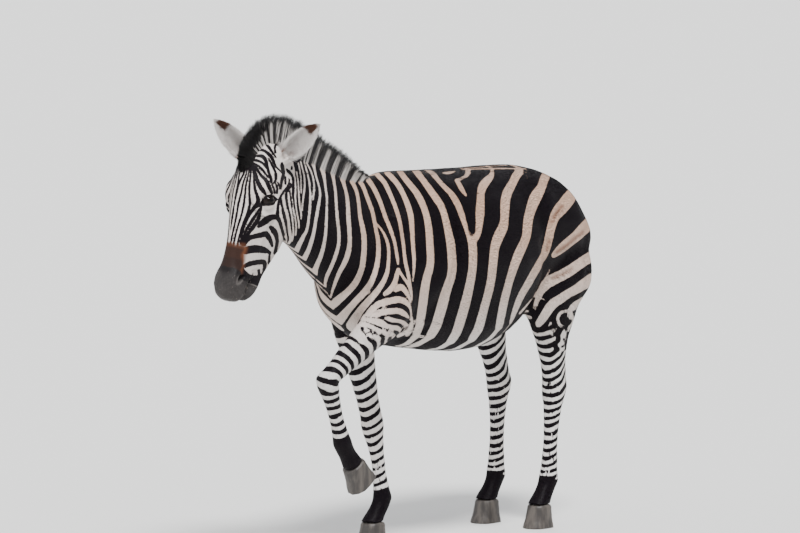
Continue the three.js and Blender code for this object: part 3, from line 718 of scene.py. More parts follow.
blackStrokes = {
    "body": [
        [467.6,228,1.6, 471.8,238,1.6], [567.9,318,2.5, 567.9,323,2.5], [562.6,318.6,2, 564.6,318.6,2],
        [562,327.9,2.4, 566.6,327.9,2.4], [567,332.5,3, 576,327,3], [570,341.5,2.5, 562,347,2.5],
        [566.5,354,3, 560,360,3.5, 555,363,3], [564,368.5,3, 559,372,3.2, 550,372.5,2.5],
        [364,314.5,1, 370,306.5,1, 375,303.2,1],
        [376,310,1, 380,308.2,2.4, 385,307.2,2.8, 390,306,3.4, 395,305.2,3.8, 400,305.4,4.2, 405,307.6,4.6, 408,311,4,
         409.7,316,1.7, 409.7,321,1.6, 408.5,326,1.4, 406,330,1.2],
        [381,316.3,1.6, 385,316,2.2, 390,315.5,2.5, 395,316,3, 400,317,3.4, 405,318.5,3.2, 408.5,320,2.2],
        [365,316.8,1, 370,317.2,1.1, 376,318,1.3, 381,318.2,1.7, 385,320.5,2.3, 388.5,322.8,3, 393,323.8,3,
         398,324.3,3.2, 402,326.3,3.2, 402.8,329.3,2.4, 401.5,331,1.5],
        [361,320.8,0.8, 366,322,1.1, 371,324,1.4, 376,326,1.9, 381,328,2.3, 387,330,2.5, 393,331.3,2.3,
         397,333.8,1.8],
        [367,328,1.4, 371,330,2.2, 376,333.2,2.1, 382,335.5,1.8, 387,336.5,1.8, 391,338.5,1.5],
        [370,331,1.6, 373.5,336,1.9, 376,340.5,1.9, 380,343.5,1.6],
        [360,330,0.8, 364,332,1, 367,336,1.2, 369,341,1.4, 371,345,1.2], [320.3,310.5,1, 331.5,323,1.2],
        [361,178,5, 363,173,4],
    ],
    "face": [
        [249.6,163,1.6, 253,168,1.6, 255.8,174,2.4, 257.5,181,3.6, 260.8,187.5,4.2, 264,192,3.4, 265.8,194.6,1.5],
        [248.8,162.5,1.6, 251.8,168,1.4, 253.6,173,1.4, 254,178,1.6, 254.2,184,2, 255.2,190,2.4, 257,195.5,3,
         258.2,199.5,3.4, 257.2,203.5,3.2, 254.4,207.5,3, 251.3,211.5,3, 248.5,216,2.6, 246,221,2.2, 243.8,226.5,2,
         242.3,232,1.6, 241.3,238,1.4, 240.5,244,1.2],
        [248.3,162,1.6, 250.2,167,1.3, 250.8,173,1.3, 250.2,179,1.6, 249.4,186,1.8, 249.3,193,2, 249.8,199,2.2,
         249.8,204,2, 248.8,209,1.8, 247.3,214,1.6, 245.2,219,1.4, 242.5,226,1.3, 240.3,233,1.2, 238.5,240,1.1,
         237.5,246,1],
        [247.8,162,1.4, 248.9,167,1.2, 248.8,173,1.1, 247.3,179,1.3, 245.8,186,1.5, 245.2,193,1.6, 244.5,199,1.5,
         243.7,205,1.4, 242.4,211,1.3, 240.8,217,1.2, 238.6,224,1.2, 236.5,231,1.1, 234.8,238,1.1, 233.6,245,1],
        [247,162,1.4, 247.2,167,1.2, 246.6,172,1.1, 244.8,178,1.3, 242.6,185,1.5, 241.6,191,1.6, 240.2,197,1.6,
         238.6,203,1.4, 237.6,209,1.3, 236.6,215,1.2, 235.2,222,1.2, 233.6,229,1.1, 232,236,1.1, 230.8,243,1,
         230,248,1],
        [246,162,1.4, 245.6,167,1.2, 244.2,172,1.2, 241.5,178,1.4, 238.4,185,1.8, 236.8,190.5,2.2, 235.6,196,2,
         234.2,202,1.8, 233.4,208,1.4, 232.8,214,1.2, 231.6,221,1.2, 230.2,228,1.1, 228.8,235,1.1, 227.4,242,1,
         226.5,247,1],
        [250,163.5,2, 255,167,2.2, 258.5,171.5,2.2, 261.5,176,2.6, 265.5,179.5,3.2, 268,184,3.8, 270,189,3.4,
         271.8,193.5,2],
        [251,162,2, 255,164,2, 259,166.5,2, 263,170.5,2.2, 266.3,175,1.8, 268.5,177.5,1],
        [251.5,160,2, 255,160,2.4, 260,161.5,2.2, 264,164.5,2, 267,168.5,1.6],
        [257,156,2, 260,155.8,3, 263.5,157,3.6, 266,161,3.2, 267.3,167,2.6, 269,173,2.4, 271,179,2.6, 271.4,182.5,2],
        [257,151,1.6, 260,149.8,2.4, 264,150.5,2.4, 267.5,153,3, 270.5,155.8,3.2, 273,160,2.8, 275,165,1.8,
         277.5,168.5,1.6, 280.5,171,1.5, 283,174,1.4],
        [262,140.5,2.4, 265,143,2.6, 268,146,2.4, 270.7,150,2.6, 273.5,154,1.6, 276,157.5,1],
        [269.5,136.5,2, 272.3,142.5,2.2], [275.5,152.5,1.8, 274.8,148,1.8, 276,144.8,1.8, 281,145,1.2],
        [274.5,137.5,1.8, 279,141.5,1.8, 283,144,1.6],
        [268.3,158.5,1.2, 270.5,162,1.8, 273,167,2, 275.2,171.5,2, 275.9,176,2.4, 275.4,181,2.2, 273,183.5,1.2],
        [272,184.5,1.2, 274,189,1.8, 274.6,193,1.8], [275.6,183.5,1.2, 277.2,188,1.8, 276.8,193,1.8],
        [278,182.5,1.2, 279.5,186,1.4, 279.6,189,1],
        [281.8,163.5,2.4, 282.3,167,4, 283.6,171.5,3, 283.2,176,3.2, 281.6,181,2.8, 281.2,186,2.2, 281,189,1.1],
        [285.5,177,1.4, 285.2,181,2, 285.6,184,1.6],
        [289.2,179,1.3, 288.8,184,1.5, 286.5,188,1.8, 283.5,192,2, 281,196,1.9, 279.5,199.5,2.3, 278.6,203,2.2,
         277.8,208,2.2, 277.5,215,3],
        [286.8,169.5,1.8, 288.5,171.5,3, 291,174,2.6, 293,178,2.2, 293.4,184,2.2, 293,190,2, 292.8,194,1.7,
         293.5,199,1.5],
        [291,184,1.4, 289.5,188,2.2, 287,191,2.1, 285.8,195,1.9, 286.5,201,2.2, 287.5,208,2],
        [290,193,1.3, 290.8,199,1.5, 292,207,1.5], [281.2,198,1, 281.2,203,1.8, 282.8,209,2],
        [297.3,158,3, 297.6,160,3], [292,166.5,1, 291.6,169,1.8],
        [261.5,206,1, 260.3,212,1.6, 258.6,218,3, 255.5,223.5,3.2, 251.5,229,3.2, 248,234,2.4, 245.3,239.5,1.6,
         243.8,245,1.2],
        [259.5,208.5,1, 256,214.5,2.2, 252,220.5,2.4, 248.4,226.5,2.2, 245.3,232.5,1.8, 243.4,238.5,1.4,
         242.4,245,1.2],
        [258.3,227,1.5, 261,224.3,4.5, 264.5,221.5,6, 268.5,218.5,5.8, 272.5,217,4.5, 276.5,217,4.2],
        [277.5,217.5,4, 279.8,222,2.8, 281.6,228,2.4, 283.4,234.5,2.2, 284.5,240,1.8, 284.2,243,1],
        [271,227.5,3, 273.5,230.5,5, 276,235,3.8, 277.2,241,2.8, 276.4,247,2.6, 275,253,2.8, 274,259,2.8,
         273.3,263,2],
        [244.8,245,1.5, 246.8,240.8,3, 250.5,237.6,3.6, 256,236,4, 261.5,235,4.4, 266,234,5, 268.8,237.5,4, 271,242,3,
         272.2,246,1.5],
        [245.3,252.5,3, 247.5,250.3,6.5, 252,249.2,6.8, 258,249,6.6, 263.5,250,5.6, 268,251.6,3.4, 270.3,253,1.5],
        [269.5,254,1.2, 269.2,260,1.6, 268.5,266,2.2, 267,272,2],
        [245,266,2.5, 248.5,264.3,4, 254,262.8,4, 260,262,4, 264,262.4,4.2, 264.8,266,3, 264,271,2.6, 262.3,275.5,2],
        [258.8,270.5,2, 259.3,275,2],
    ],
}
shadowStrokes = [  # brown lines inside the white of the rump
    [583,231,2.5, 573,239.5,3, 565,246,3, 556.5,251.8,2.5], [572,268.5,2, 562,273.5,2.4, 552,278,2],
    [562,206,3, 556,213,3, 551,222,2], [549,240,2.5, 546,250,2.5],
]
# strokes that go on over the skin to the middle plane: past their first point and past their last
goesOn = {
    "neck": ({0, 2, 3, 4, 5, 6, 7, 9, 10, 11}, {0, 2, 3, 4, 5, 6, 7}),
    "trunk": ({0, 1, 2, 3, 4, 5, 6}, {0, 1, 2, 4, 5, 6}),
    "rump": ({0, 1, 2, 3}, set()),
}
seen = {"pixel": camera["distance"] / camera["focal"], "deep": 0.25, "beyond": 1.45}
awayWay = np.array(pixelRay(400, 266)[1])


def flat(points):  # the same places with their depth from the camera pressed together
    return points - np.outer(points @ awayWay, awayWay) * (1 - seen["deep"])


def nearestToRay(u, v):
    start, way = pixelRay(u, v)
    hit = skinTree.ray_cast(start, way)[0]
    if hit is not None:
        return np.array(hit)
    point = start + way * camera["distance"]
    for _ in range(8):
        held = skinTree.find_nearest(point)[0]
        point = start + way * (held - start).dot(way)
    return np.array(held)


def walkOn(points, width, wider, steps=34, step=0.014):
    # on from the last point over the skin, turning towards the middle plane
    point = points[-1]
    way = unit(points[-1] - points[-2])
    walked, widths = [point], [width]
    for i in range(1, steps):
        if point[1] > -0.006:
            break
        normal = np.array(skinTree.find_nearest(point)[1])
        way = way * 0.72 + np.array((0, 1.0, 0)) * 0.28
        way = unit(way - normal * np.dot(way, normal))
        point = np.array(skinTree.find_nearest(point + way * step)[0])
        walked.append(point)
        widths.append(max(width * (1 + (wider - 1) * min(1.0, i / 9)) * 0.985 ** i, 0.004))
    return np.array(walked), np.array(widths), False


def smoothed(stroke):  # a rounded stroke with twice the points
    stroke = np.array(stroke, float).reshape(-1, 3)
    ends = np.concatenate([[2 * stroke[0] - stroke[1]], stroke, [2 * stroke[-1] - stroke[-2]]])
    between = (9 * (ends[1:-2] + ends[2:-1]) - ends[:-3] - ends[3:]) / 16
    return np.concatenate([np.stack([stroke[:-1], between], 1).reshape(-1, 3), stroke[-1:]])


def toOutline(stroke):
    # the stroke up to the outline, where its first point lies beyond it
    met = [skinTree.ray_cast(*pixelRay(u, v))[0] is not None for u, v in stroke[:, :2]]
    if met[0] or not any(met):
        return stroke
    first = met.index(True)
    inside, beyond = stroke[first], stroke[first - 1]
    for _ in range(7):
        middle = (inside + beyond) / 2
        if skinTree.ray_cast(*pixelRay(*middle[:2]))[0] is None:
            beyond = middle
        else:
            inside = middle
    return np.concatenate([inside[None], stroke[first:]])


def castStroke(stroke, first=False, last=False, wider=1.0):
    stroke = smoothed(stroke)
    if first:
        stroke = toOutline(stroke)
    if last:
        stroke = toOutline(stroke[::-1])[::-1]
    points = np.array([nearestToRay(u, v) for u, v in stroke[:, :2]])
    widths = stroke[:, 2] / 2 * seen["pixel"]
    made = [(flat(points), widths, True)]
    if last:
        made.append(walkOn(points, widths[-1], wider))
    if first:
        made.append(walkOn(points[::-1], widths[0], wider))
    return made


def strokesOf(sets):
    made = {}
    for name, strokes in sets.items():
        firsts, lasts = goesOn.get(name, (set(), set())) if sets is whiteStrokes else (set(), set())
        wider = 1.0 if name == "rump" else seen["beyond"]
        made[name] = [line for i, stroke in enumerate(strokes)
                      for line in castStroke(stroke, i in firsts, i in lasts, wider) if len(line[0]) > 1]
    return made


whiteLines = strokesOf(whiteStrokes)
blackLines = strokesOf(blackStrokes)
shadowLines = strokesOf({"rump": shadowStrokes})
print("stripes laid on the skin")


def toLine(places, line, best, reach=0.06):
    # lowers best to the distance from the stroke's edge, below 0 inside it
    spots, widths, pressed = line
    points = places[pressed]
    low, high = spots.min(0) - widths.max() - reach, spots.max(0) + widths.max() + reach
    near = np.flatnonzero(np.all((points > low) & (points < high), axis=1))
    if not len(near):
        return
    held, got = best[near], points[near]
    for a, b, wa, wb in zip(spots, spots[1:], widths, widths[1:]):
        along = b - a
        t = np.clip((got - a) @ along / max(along @ along, 1e-12), 0, 1)
        held = np.minimum(held, np.linalg.norm(got - a - t[:, None] * along, axis=1) - (wa + (wb - wa) * t))
    best[near] = held


def toLines(points, lines, reach=0.06):
    best = np.full(len(points), reach)
    places = {True: flat(points), False: points}
    for line in lines:
        toLine(places, line, best, reach)
    return best


def bandPlace(points, which):
    # metres down the leg, shared between the bones so that the bands fan out round a joint
    total, placed = np.zeros(len(points)), np.zeros(len(points))
    for number, joints in enumerate(legJoints.values()):
        own = which == number
        passed = 0.0
        for i, (start, end) in enumerate(zip(joints, joints[1:])):
            start, bone = np.array(start), np.array(end) - np.array(start)
            length = np.linalg.norm(bone)
            got = points[own] - start
            t = got @ bone / length
            off = np.linalg.norm(got - np.outer(np.clip(t, 0, length), bone) / length, axis=1)
            share = (off + 0.004) ** -4.0
            total[own] += share
            placed[own] += share * (passed + np.clip(t, -0.05 if i else -0.5, length + 0.05))
            passed += length
    return placed / total


bands = {  # heights and lengths in metres; lists go by leg
    "top": [0.76, 0.70, 0.62, 0.64], "blend": 0.035,  # where the bands begin
    "hoof": [0.60, 0.63, 0.74, 0.74],  # how far down the leg the hoof is
    "spacing": 0.040, "closer": 0.09,  # at the top, and how slowly they draw together
    "tilt": 0.45, "black": 0.08, "paler": 0.22, "strength": 1.2,
}


def legBands(points):
    # black bands round the legs, closer and thinner towards the hoof
    which = legPlaces(points)[3]
    down = bandPlace(points, which)
    back = (points[:, 0] - boneX(down, which)) * (which > 0)
    place = down + back * bands["tilt"] + 0.006 * ripple(points, 0.045, 5.0) + 0.003 * ripple(points, 0.02, 1.0)
    turn = 2 * math.pi * (place / bands["spacing"] + 0.9 * place ** 2 / bands["closer"])
    spacing = 1 / (1 / bands["spacing"] + 1.8 * place / bands["closer"])
    inner = 1 - smoothStep(0.02, 0.05, np.abs(points[:, 1]) - 0.05)
    share = bands["black"] - bands["paler"] * inner
    band = (np.sin(turn) + share) * spacing / (2 * math.pi) * bands["strength"]
    return band + 0.02 * smoothStep(-0.075, -0.05, down - np.take(bands["hoof"], which))


def bandPart(points, stripe):
    # 1 where the bands of the legs take the place of the body's stripes
    x, y, z = points.T
    bone, which = legPlaces(points)[1::2]
    body = ~isHead(points)
    top = np.take(bands["top"], which)
    inside = smoothStep(0.0, 0.05, 0.11 - np.abs(y)) * smoothStep(0.0, 0.05, 0.86 - z) * (x > 0.5)
    part = np.maximum(1 - smoothStep(top - bands["blend"], top + bands["blend"], z), inside) * body
    raised = (1 - smoothStep(-0.44, -0.38, x)) * (1 - smoothStep(0.76, 0.82, z))
    part = np.where((which == 0) & (y < 0) & (x < -0.30) & body, np.maximum(part, raised), part)
    behind = (which <= 1) & (x > -0.20)  # the ribs keep their stripes behind the elbow
    part = np.where(behind, part * smoothStep(0.15, 0.10, bone), part)
    plain = smoothStep(0.010, 0.020, stripe) * (1 - smoothStep(0.80, 0.88, z)) * (bone < 0.12) * body
    return np.maximum(part, plain * ((x > 0.5) | (x < 0.02)))


trunkLines = {  # half widths in metres
    "back": 0.011, "pale": 0.021, "paleHalf": 0.0035, "belly": 0.014,
}


def bodyStripes(q):
    # the strokes, the dark line along the back with a pale one beside it, and the dark line of the belly
    stripe = np.full(len(q), 0.05)
    for name in ("neck", "trunk", "rump", "shoulder", "throat"):
        stripe = np.minimum(stripe, toLines(q, whiteLines[name]))
    across = np.abs(q[:, 1])
    pale = np.abs(across - trunkLines["pale"]) - trunkLines["paleHalf"] + 0.006 * (np.abs(q[:, 0] - 0.43) > 0.13)
    onBack = (q[:, 2] > 1.22) & (q[:, 0] > -0.10)
    stripe = np.where(onBack & (across < 0.05), np.minimum(stripe, pale), stripe)
    stripe = np.where(onBack, np.maximum(stripe, trunkLines["back"] - across), stripe)
    belly = (q[:, 2] < 0.86) & (q[:, 0] > -0.1) & (q[:, 0] < 0.5)
    stripe = np.where(belly, np.maximum(stripe, trunkLines["belly"] - across), stripe)
    return np.maximum(stripe, -toLines(q, blackLines["body"]))


def breakBlack(points, q, stripe):
    # more white lines in the wide black of the side that is turned away
    x, y, z = points.T
    shoulder = (x < -0.02) & (x > -0.56) & (z > 0.66) & (z < 1.14)
    thigh = (x > 0.35) & (x < 0.66) & (z > 0.55) & (z < 0.86)
    away = np.flatnonzero((y > 0) & ~isHead(points) & (shoulder | thigh) & (stripe > 0.014))
    far = toLines(q[away], [line for lines in whiteLines.values() for line in lines], 0.12)
    stripe[away] = np.minimum(stripe[away], np.abs((far - 0.014) % 0.025 - 0.0125) - 0.006)
    return stripe


def tailRings(points, stripe):
    x, y, z = points.T
    dock = smoothStep(0.0, 0.02, x - 0.858) * (np.abs(y - 0.004) < 0.030) * (z > 0.7) * (z < 1.13)
    rings = 0.008 * np.sin(z * 2 * math.pi / 0.042) + 0.001 - 0.006 * smoothStep(0.008, 0.0, np.abs(y - 0.008))
    return stripe + (rings - stripe) * dock


def faceStripes(points, q, stripe):
    fine = isFine(points)
    ground = np.where(fine, np.minimum(stripe, toLines(q, whiteLines["face"], 0.08)), stripe)
    wider = 0.0012 + 0.0008 * smoothStep(160, 210, headPlaces(points)[0])
    return np.where(fine, np.maximum(ground, wider - toLines(q, blackLines["face"], 0.05)), stripe)


def earStripes(points, normals, stripe):
    # black bands on the back, a dark patch below a white tip, white inside
    share, opening, _ = earPlaces(points, normals)
    rows = 0.006 * np.sin((share - 0.05) * 2 * math.pi / 0.20) - 0.003
    patch = 0.013 - np.abs(share - 0.78) * 0.13
    back = np.maximum(rows * (share < 0.6) - 0.01 * (share >= 0.6), patch)
    return np.where(share > 0.05, np.where(opening > 0.0, -0.012, back), stripe)


def plainFace(points, stripe):
    # the pale patch under the eye, and no stripes on the muzzle
    for a, b, own in bothEyes(points):
        under = np.exp(-(((a + 4) / 20) ** 2 + ((b + 27) / 8.5) ** 2)) * own
        stripe = np.where(under > 0.35, np.minimum(stripe, -0.012 * under), stripe)
    along, out, _ = headPlaces(points)
    onNose = smoothStep(-18, 0, out) * (along > 380)  # where the muzzle begins higher up
    muzzle = smoothStep(436, 450, along + 5 * ripple(points, 0.018, 2.0) + 18 * onNose)
    return stripe + (-0.02 - stripe) * (muzzle * isHead(points) * ~inEars(points))


def stripesAt(points, normals):  # metres to the edge of the nearest stripe, above 0 in the black
    apart = smoothStep(0.01, 0.09, points[:, 1])[:, None]
    wander = np.stack([ripple(points, 0.16, 3.0), np.zeros(len(points)), ripple(points, 0.13, 6.0)], 1) * 0.009
    wander[isHead(points)] *= 0.15
    q = points + wander * apart
    q[:, 1] = -np.abs(q[:, 1])
    stripe = bodyStripes(q)
    stripe = stripe + (legBands(points) - stripe) * bandPart(points, stripe)
    stripe = tailRings(points, breakBlack(points, q, stripe))
    stripe = earStripes(points, normals, faceStripes(points, q, stripe))
    return np.clip(plainFace(points, stripe), -0.05, 0.05)


def earSide(points):  # metres from the middle of the nearer ear, above 0 towards its outer edge
    made = np.zeros(len(points))
    for ear in ears.values():
        base, tip = np.array(ear["base"]), np.array(ear["tip"])
        axis = unit(tip - base)
        outer = np.cross(axis, unit(np.array(ear["mouth"])))
        outer = unit(outer * np.sign(outer[1] * base[1]))
        rel = points - base
        own = np.sign(points[:, 1]) == np.sign(base[1])
        made[own] = (rel @ outer)[own]
    return made


faceMarks = {  # millimetres on the head between which a marking comes in or goes out
    "nose": (326, 346), "noseSide": (-18, 0), "rustEnd": (440, 422), "muzzle": (420, 444), "settled": (424, 468),
    # the cheek pair bounds the painted shade on the lower side of the face
    "cheek": (170, 240), "cheekShadeTop": (10, -10), "lids": (4.4, 6.6),
}
earPatch = {"root": (0.62, 0.68), "tip": (0.92, 0.86), "edge": (0.007, 0.000)}  # shares of the ear, then metres


def fromLids(points, floor=-8, corners=False):
    # millimetres outside the opening of the nearer eye, and of the dark skin before its inner corner
    gap = np.full(len(points), 99.0)
    for a, b, own in bothEyes(points, floor):
        near = lidDistance(a, b)
        if corners:
            near = np.minimum(near, np.hypot(a - np.clip(a, -52, -30), b + 2) - 0.6)
        gap = np.where(own, np.minimum(gap, near), gap)
    return gap


def earMarks(points, normals):
    # inside the ears: the brown of the root, the patch under the tip and the rim
    share, opening, _ = earPlaces(points, normals)
    inner = (share > 0.02) & (opening > 0)
    root = inner * (1 - smoothStep(0.10, 0.20, share)) * smoothStep(-0.2, 0.6, ripple(points, 0.012, 4.0)) * 0.8
    rag = 0.006 * ripple(points, 0.008, 5.0)
    patch = smoothStep(*earPatch["root"], share + rag * 3) * smoothStep(*earPatch["tip"], share)
    patch = inner * (patch * smoothStep(*earPatch["edge"], earSide(points) + rag))
    rim = inner * smoothStep(0.22, 0.02, opening) * smoothStep(0.10, 0.30, share) * 0.55
    return root, patch, rim


def warmAt(points):
    front = 0.35 + 0.65 * smoothStep(-0.55, -0.25, points[:, 0])
    warm = smoothStep(0.55, 1.12, points[:, 2]) * 0.88 * front + 0.12 * ripple(points, 0.12, 1.0)
    warm = np.where(isHead(points), 0.22 + 0.10 * ripple(points, 0.05, 1.0), warm)
    return np.where(inEars(points), 0.0, warm)


def muzzleGreyAndPaintedLight(points, nose, noise):
    # 1 is nearly black, a little below it is grey; a painted highlight lightens the rim of each nostril, and painted
    # shade darkens the nostril opening and the crease of the mouth
    along, out, side = headPlaces(points)
    a, b = nostrilPlaces(along, out)
    opening = np.hypot(a / nostril["half"][0], b / nostril["half"][1])
    outer = np.abs(side) > 22
    # painted highlight on the raised rim round each nostril
    nostrilRimHighlight = np.exp(-((opening - 1.55) / 0.38) ** 2) * outer
    speck = smoothStep(-0.2, 0.9, ripple(points, 0.0030, 7.0)) * 0.020
    speck = speck + 0.022 * smoothStep(-0.5, 0.8, ripple(points, 0.03, 3.0))
    fromMouth = mouthDistance(along, out)
    # painted shade along the crease of the mouth
    mouth = np.exp(-(fromMouth / 3.5) ** 2) * (along > 405)
    lips = np.exp(-((fromMouth - 9) / 5) ** 2)
    settled = smoothStep(*faceMarks["settled"], along + 10 * noise + 8 * nose)
    grey = 1 - (0.028 + speck) * settled - 0.065 * nostrilRimHighlight - 0.02 * lips + 0.06 * mouth
    # painted shade inside the nostril opening
    return np.clip(grey + 0.12 * smoothStep(1.15, 0.85, opening) * outer, 0, 1)


def bareSkinAndPaintedShadeAt(points, nose, noise):
    # each way in which the skin darkens the head, the largest of them counts; besides bare skin they carry the painted
    # light of the muzzle and painted shade on the lower cheek
    along, out, _ = headPlaces(points)
    head, fur = isHead(points), ~inEars(points)
    grey = muzzleGreyAndPaintedLight(points, nose, noise)
    muzzle = smoothStep(*faceMarks["muzzle"], along + 6 * noise + 0.10 * (out + 20) + 22 * nose)
    mouth = np.exp(-(mouthDistance(along, out) / 6.0) ** 2) * (along > 398)
    bridge = 0.84 * smoothStep(-9, 8, out + 8 * noise) + 0.5 * smoothStep(375, 415, along)
    bridge = np.clip(bridge - 0.3 * smoothStep(350, 338, along), 0, 0.9)
    # painted shade on the lower side of the face, below the facial crest
    cheek = smoothStep(*faceMarks["cheek"], along) * smoothStep(*faceMarks["cheekShadeTop"], out)
    neck = smoothStep(-0.12, -0.30, points[:, 0])
    ways = [muzzle * fur * grey, mouth * grey, nose * bridge, 0.28 * fur * cheek]
    return np.maximum.reduce([head * way for way in ways] + [0.10 * fur * neck])


def markingsAt(points, normals):
    along, out, _ = headPlaces(points)
    noise = ripple(points, 0.018, 2.0)
    nose = smoothStep(*faceMarks["nose"], along + 10 * noise) * smoothStep(*faceMarks["noseSide"], out + 5 * noise)
    nose = nose * ~inEars(points)
    root, patch, rim = earMarks(points, normals)
    mirrored = np.stack([points[:, 0], -np.abs(points[:, 1]), points[:, 2]], 1)
    shadow = 1 - smoothStep(-0.004, 0.006, toLines(mirrored, shadowLines["rump"]))
    rust = isHead(points) * nose * smoothStep(*faceMarks["rustEnd"], along + 5 * noise)
    rust = np.maximum.reduce([rust, 0.74 * shadow, root, patch * 0.97, rim])
    lids = 1 - smoothStep(*faceMarks["lids"], fromLids(points, corners=True) + 0.5 * ripple(points, 0.006, 1.0))
    bare = np.maximum.reduce([bareSkinAndPaintedShadeAt(points, nose, noise), patch * 0.5, lids * 0.4])
    stripe = stripesAt(points, normals)
    stripe = np.where(lids > 0.3, np.maximum(stripe, 0.012), stripe)
    marks = {"warm": warmAt(points), "rust": rust, "bare": bare}
    return {"stripe": stripe, **{name: np.clip(value, 0, 1) for name, value in marks.items()}}


skinMarks = markingsAt(skinPoints, skinNormals)
addValues(skinMesh, skinMarks)
print("markings on the skin")


# nodes and finishes
coatColours = {
    # the purple tint of the black is a painted sheen, on top of the black hair's own colour
    "cool": (0.78, 0.745, 0.72), "warm": (0.58, 0.36, 0.245), "black": (0.0042, 0.0024, 0.0042),
    "brown": (0.020, 0.012, 0.009), "rust": (0.145, 0.050, 0.022), "bare": (0.013, 0.0115, 0.012),
    # root: colour of the painted shade at the root of each tuft, between the tufts
    "fleck": (0.42, 0.36, 0.31), "root": (0.30, 0.27, 0.25),
}


def feed(tree, socket, value):
    if isinstance(value, bpy.types.NodeSocket):
        tree.links.new(value, socket)
    else:
        socket.default_value = value


def mixed(tree, factor, a, b, kind="MIX"):
    node = tree.nodes.new("ShaderNodeMix")
    node.data_type = "RGBA"
    node.blend_type = kind
    for socket, value in ((0, factor), (6, a), (7, b)):
        feed(tree, node.inputs[socket], (*value, 1) if isinstance(value, tuple) else value)
    return node.outputs[2]


def ranged(tree, value, low, high, outLow=0.0, outHigh=1.0, smooth=True):
    node = tree.nodes.new("ShaderNodeMapRange")
    node.interpolation_type = "SMOOTHSTEP" if smooth else "LINEAR"
    tree.links.new(value, node.inputs["Value"])
    for name, number in (("From Min", low), ("From Max", high), ("To Min", outLow), ("To Max", outHigh)):
        feed(tree, node.inputs[name], number)
    return node.outputs["Result"]


def maths(tree, operation, a, b):
    node = tree.nodes.new("ShaderNodeMath")
    node.operation = operation
    for i, value in enumerate((a, b)):
        feed(tree, node.inputs[i], value)
    return node.outputs[0]


def attributeNode(tree, name):
    node = tree.nodes.new("ShaderNodeAttribute")
    node.attribute_name = name
    return node.outputs["Fac"]


def noiseNode(tree, scale, stretch=(1, 1, 1), detail=2.0):
    place = tree.nodes.new("ShaderNodeTexCoord")
    mapping = tree.nodes.new("ShaderNodeMapping")
    mapping.inputs["Scale"].default_value = stretch
    noise = tree.nodes.new("ShaderNodeTexNoise")
    noise.inputs["Scale"].default_value = scale
    noise.inputs["Detail"].default_value = detail
    tree.links.new(place.outputs["Object"], mapping.inputs["Vector"])
    tree.links.new(mapping.outputs["Vector"], noise.inputs["Vector"])
    return noise.outputs["Fac"]


def makeCoatGroup():
    # turns the markings of a place into its colour and roughness
    tree = bpy.data.node_groups.new("coat colours", "ShaderNodeTree")
    for name in ("Stripe", "Edge", "Warm", "Rust", "Bare", "Fleck"):
        tree.interface.new_socket(name=name, in_out="INPUT", socket_type="NodeSocketFloat")
    tree.interface.new_socket(name="Color", in_out="OUTPUT", socket_type="NodeSocketColor")
    tree.interface.new_socket(name="Roughness", in_out="OUTPUT", socket_type="NodeSocketFloat")
    given = tree.nodes.new("NodeGroupInput").outputs
    low = maths(tree, "MULTIPLY", given["Edge"], -1.0)
    dark = ranged(tree, given["Stripe"], low, given["Edge"])
    white = mixed(tree, given["Warm"], coatColours["cool"], coatColours["warm"])
    white = mixed(tree, given["Fleck"], white, coatColours["fleck"])
    black = mixed(tree, given["Fleck"], coatColours["black"], coatColours["brown"])
    colour = mixed(tree, dark, white, black)
    colour = mixed(tree, given["Rust"], colour, coatColours["rust"])
    colour = mixed(tree, given["Bare"], colour, coatColours["bare"])
    outlet = tree.nodes.new("NodeGroupOutput")
    tree.links.new(colour, outlet.inputs["Color"])
    rough = ranged(tree, dark, 0.0, 1.0, 0.72, 0.50, smooth=False)
    tree.links.new(ranged(tree, given["Bare"], 0.0, 1.0, rough, 0.42, smooth=False), outlet.inputs["Roughness"])
    return tree


coatGroup = makeCoatGroup()


def newFinish(name):
    finish = bpy.data.materials.new(name)
    finish.use_nodes = True
    return finish, finish.node_tree, finish.node_tree.nodes["Principled BSDF"]


def placeGroup(tree, shader, group, links, values):
    node = tree.nodes.new("ShaderNodeGroup")
    node.node_tree = group
    for name, socket in links.items():
        tree.links.new(socket, node.inputs[name])
    for name, value in values.items():
        node.inputs[name].default_value = value
    tree.links.new(node.outputs["Color"], shader.inputs["Base Color"])
    tree.links.new(node.outputs["Roughness"], shader.inputs["Roughness"])
    return node


def makeSkinFinish():
    finish, tree, shader = newFinish("skin")
    ragged = maths(tree, "MULTIPLY", maths(tree, "SUBTRACT", noiseNode(tree, 420, (0.6, 1, 0.6)), 0.5), 0.006)
    stripe = maths(tree, "ADD", attributeNode(tree, "stripe"), ragged)
    fleck = ranged(tree, noiseNode(tree, 160), 0.55, 0.85, 0.0, 0.5)
    links = {"Stripe": stripe, "Fleck": fleck}
    links.update({name.title(): attributeNode(tree, name) for name in ("warm", "rust", "bare")})
    placeGroup(tree, shader, coatGroup, links, {"Edge": 0.0007})
    shader.inputs["Specular IOR Level"].default_value = 0.08
    bump = tree.nodes.new("ShaderNodeBump")
    bump.inputs["Distance"].default_value = 0.0008
    bump.inputs["Strength"].default_value = 0.6
    fine = noiseNode(tree, 900, (0.35, 1, 0.35), 3.0)
    coarse = noiseNode(tree, 90, detail=3.0)
    tree.links.new(maths(tree, "ADD", fine, maths(tree, "MULTIPLY", coarse, 1.5)), bump.inputs["Height"])
    tree.links.new(bump.outputs["Normal"], shader.inputs["Normal"])
    return finish


skinMesh.materials.append(makeSkinFinish())
skin = linked("skin", skinMesh)
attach(skin, "root")
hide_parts(*fleshNodes)
print("skin done")

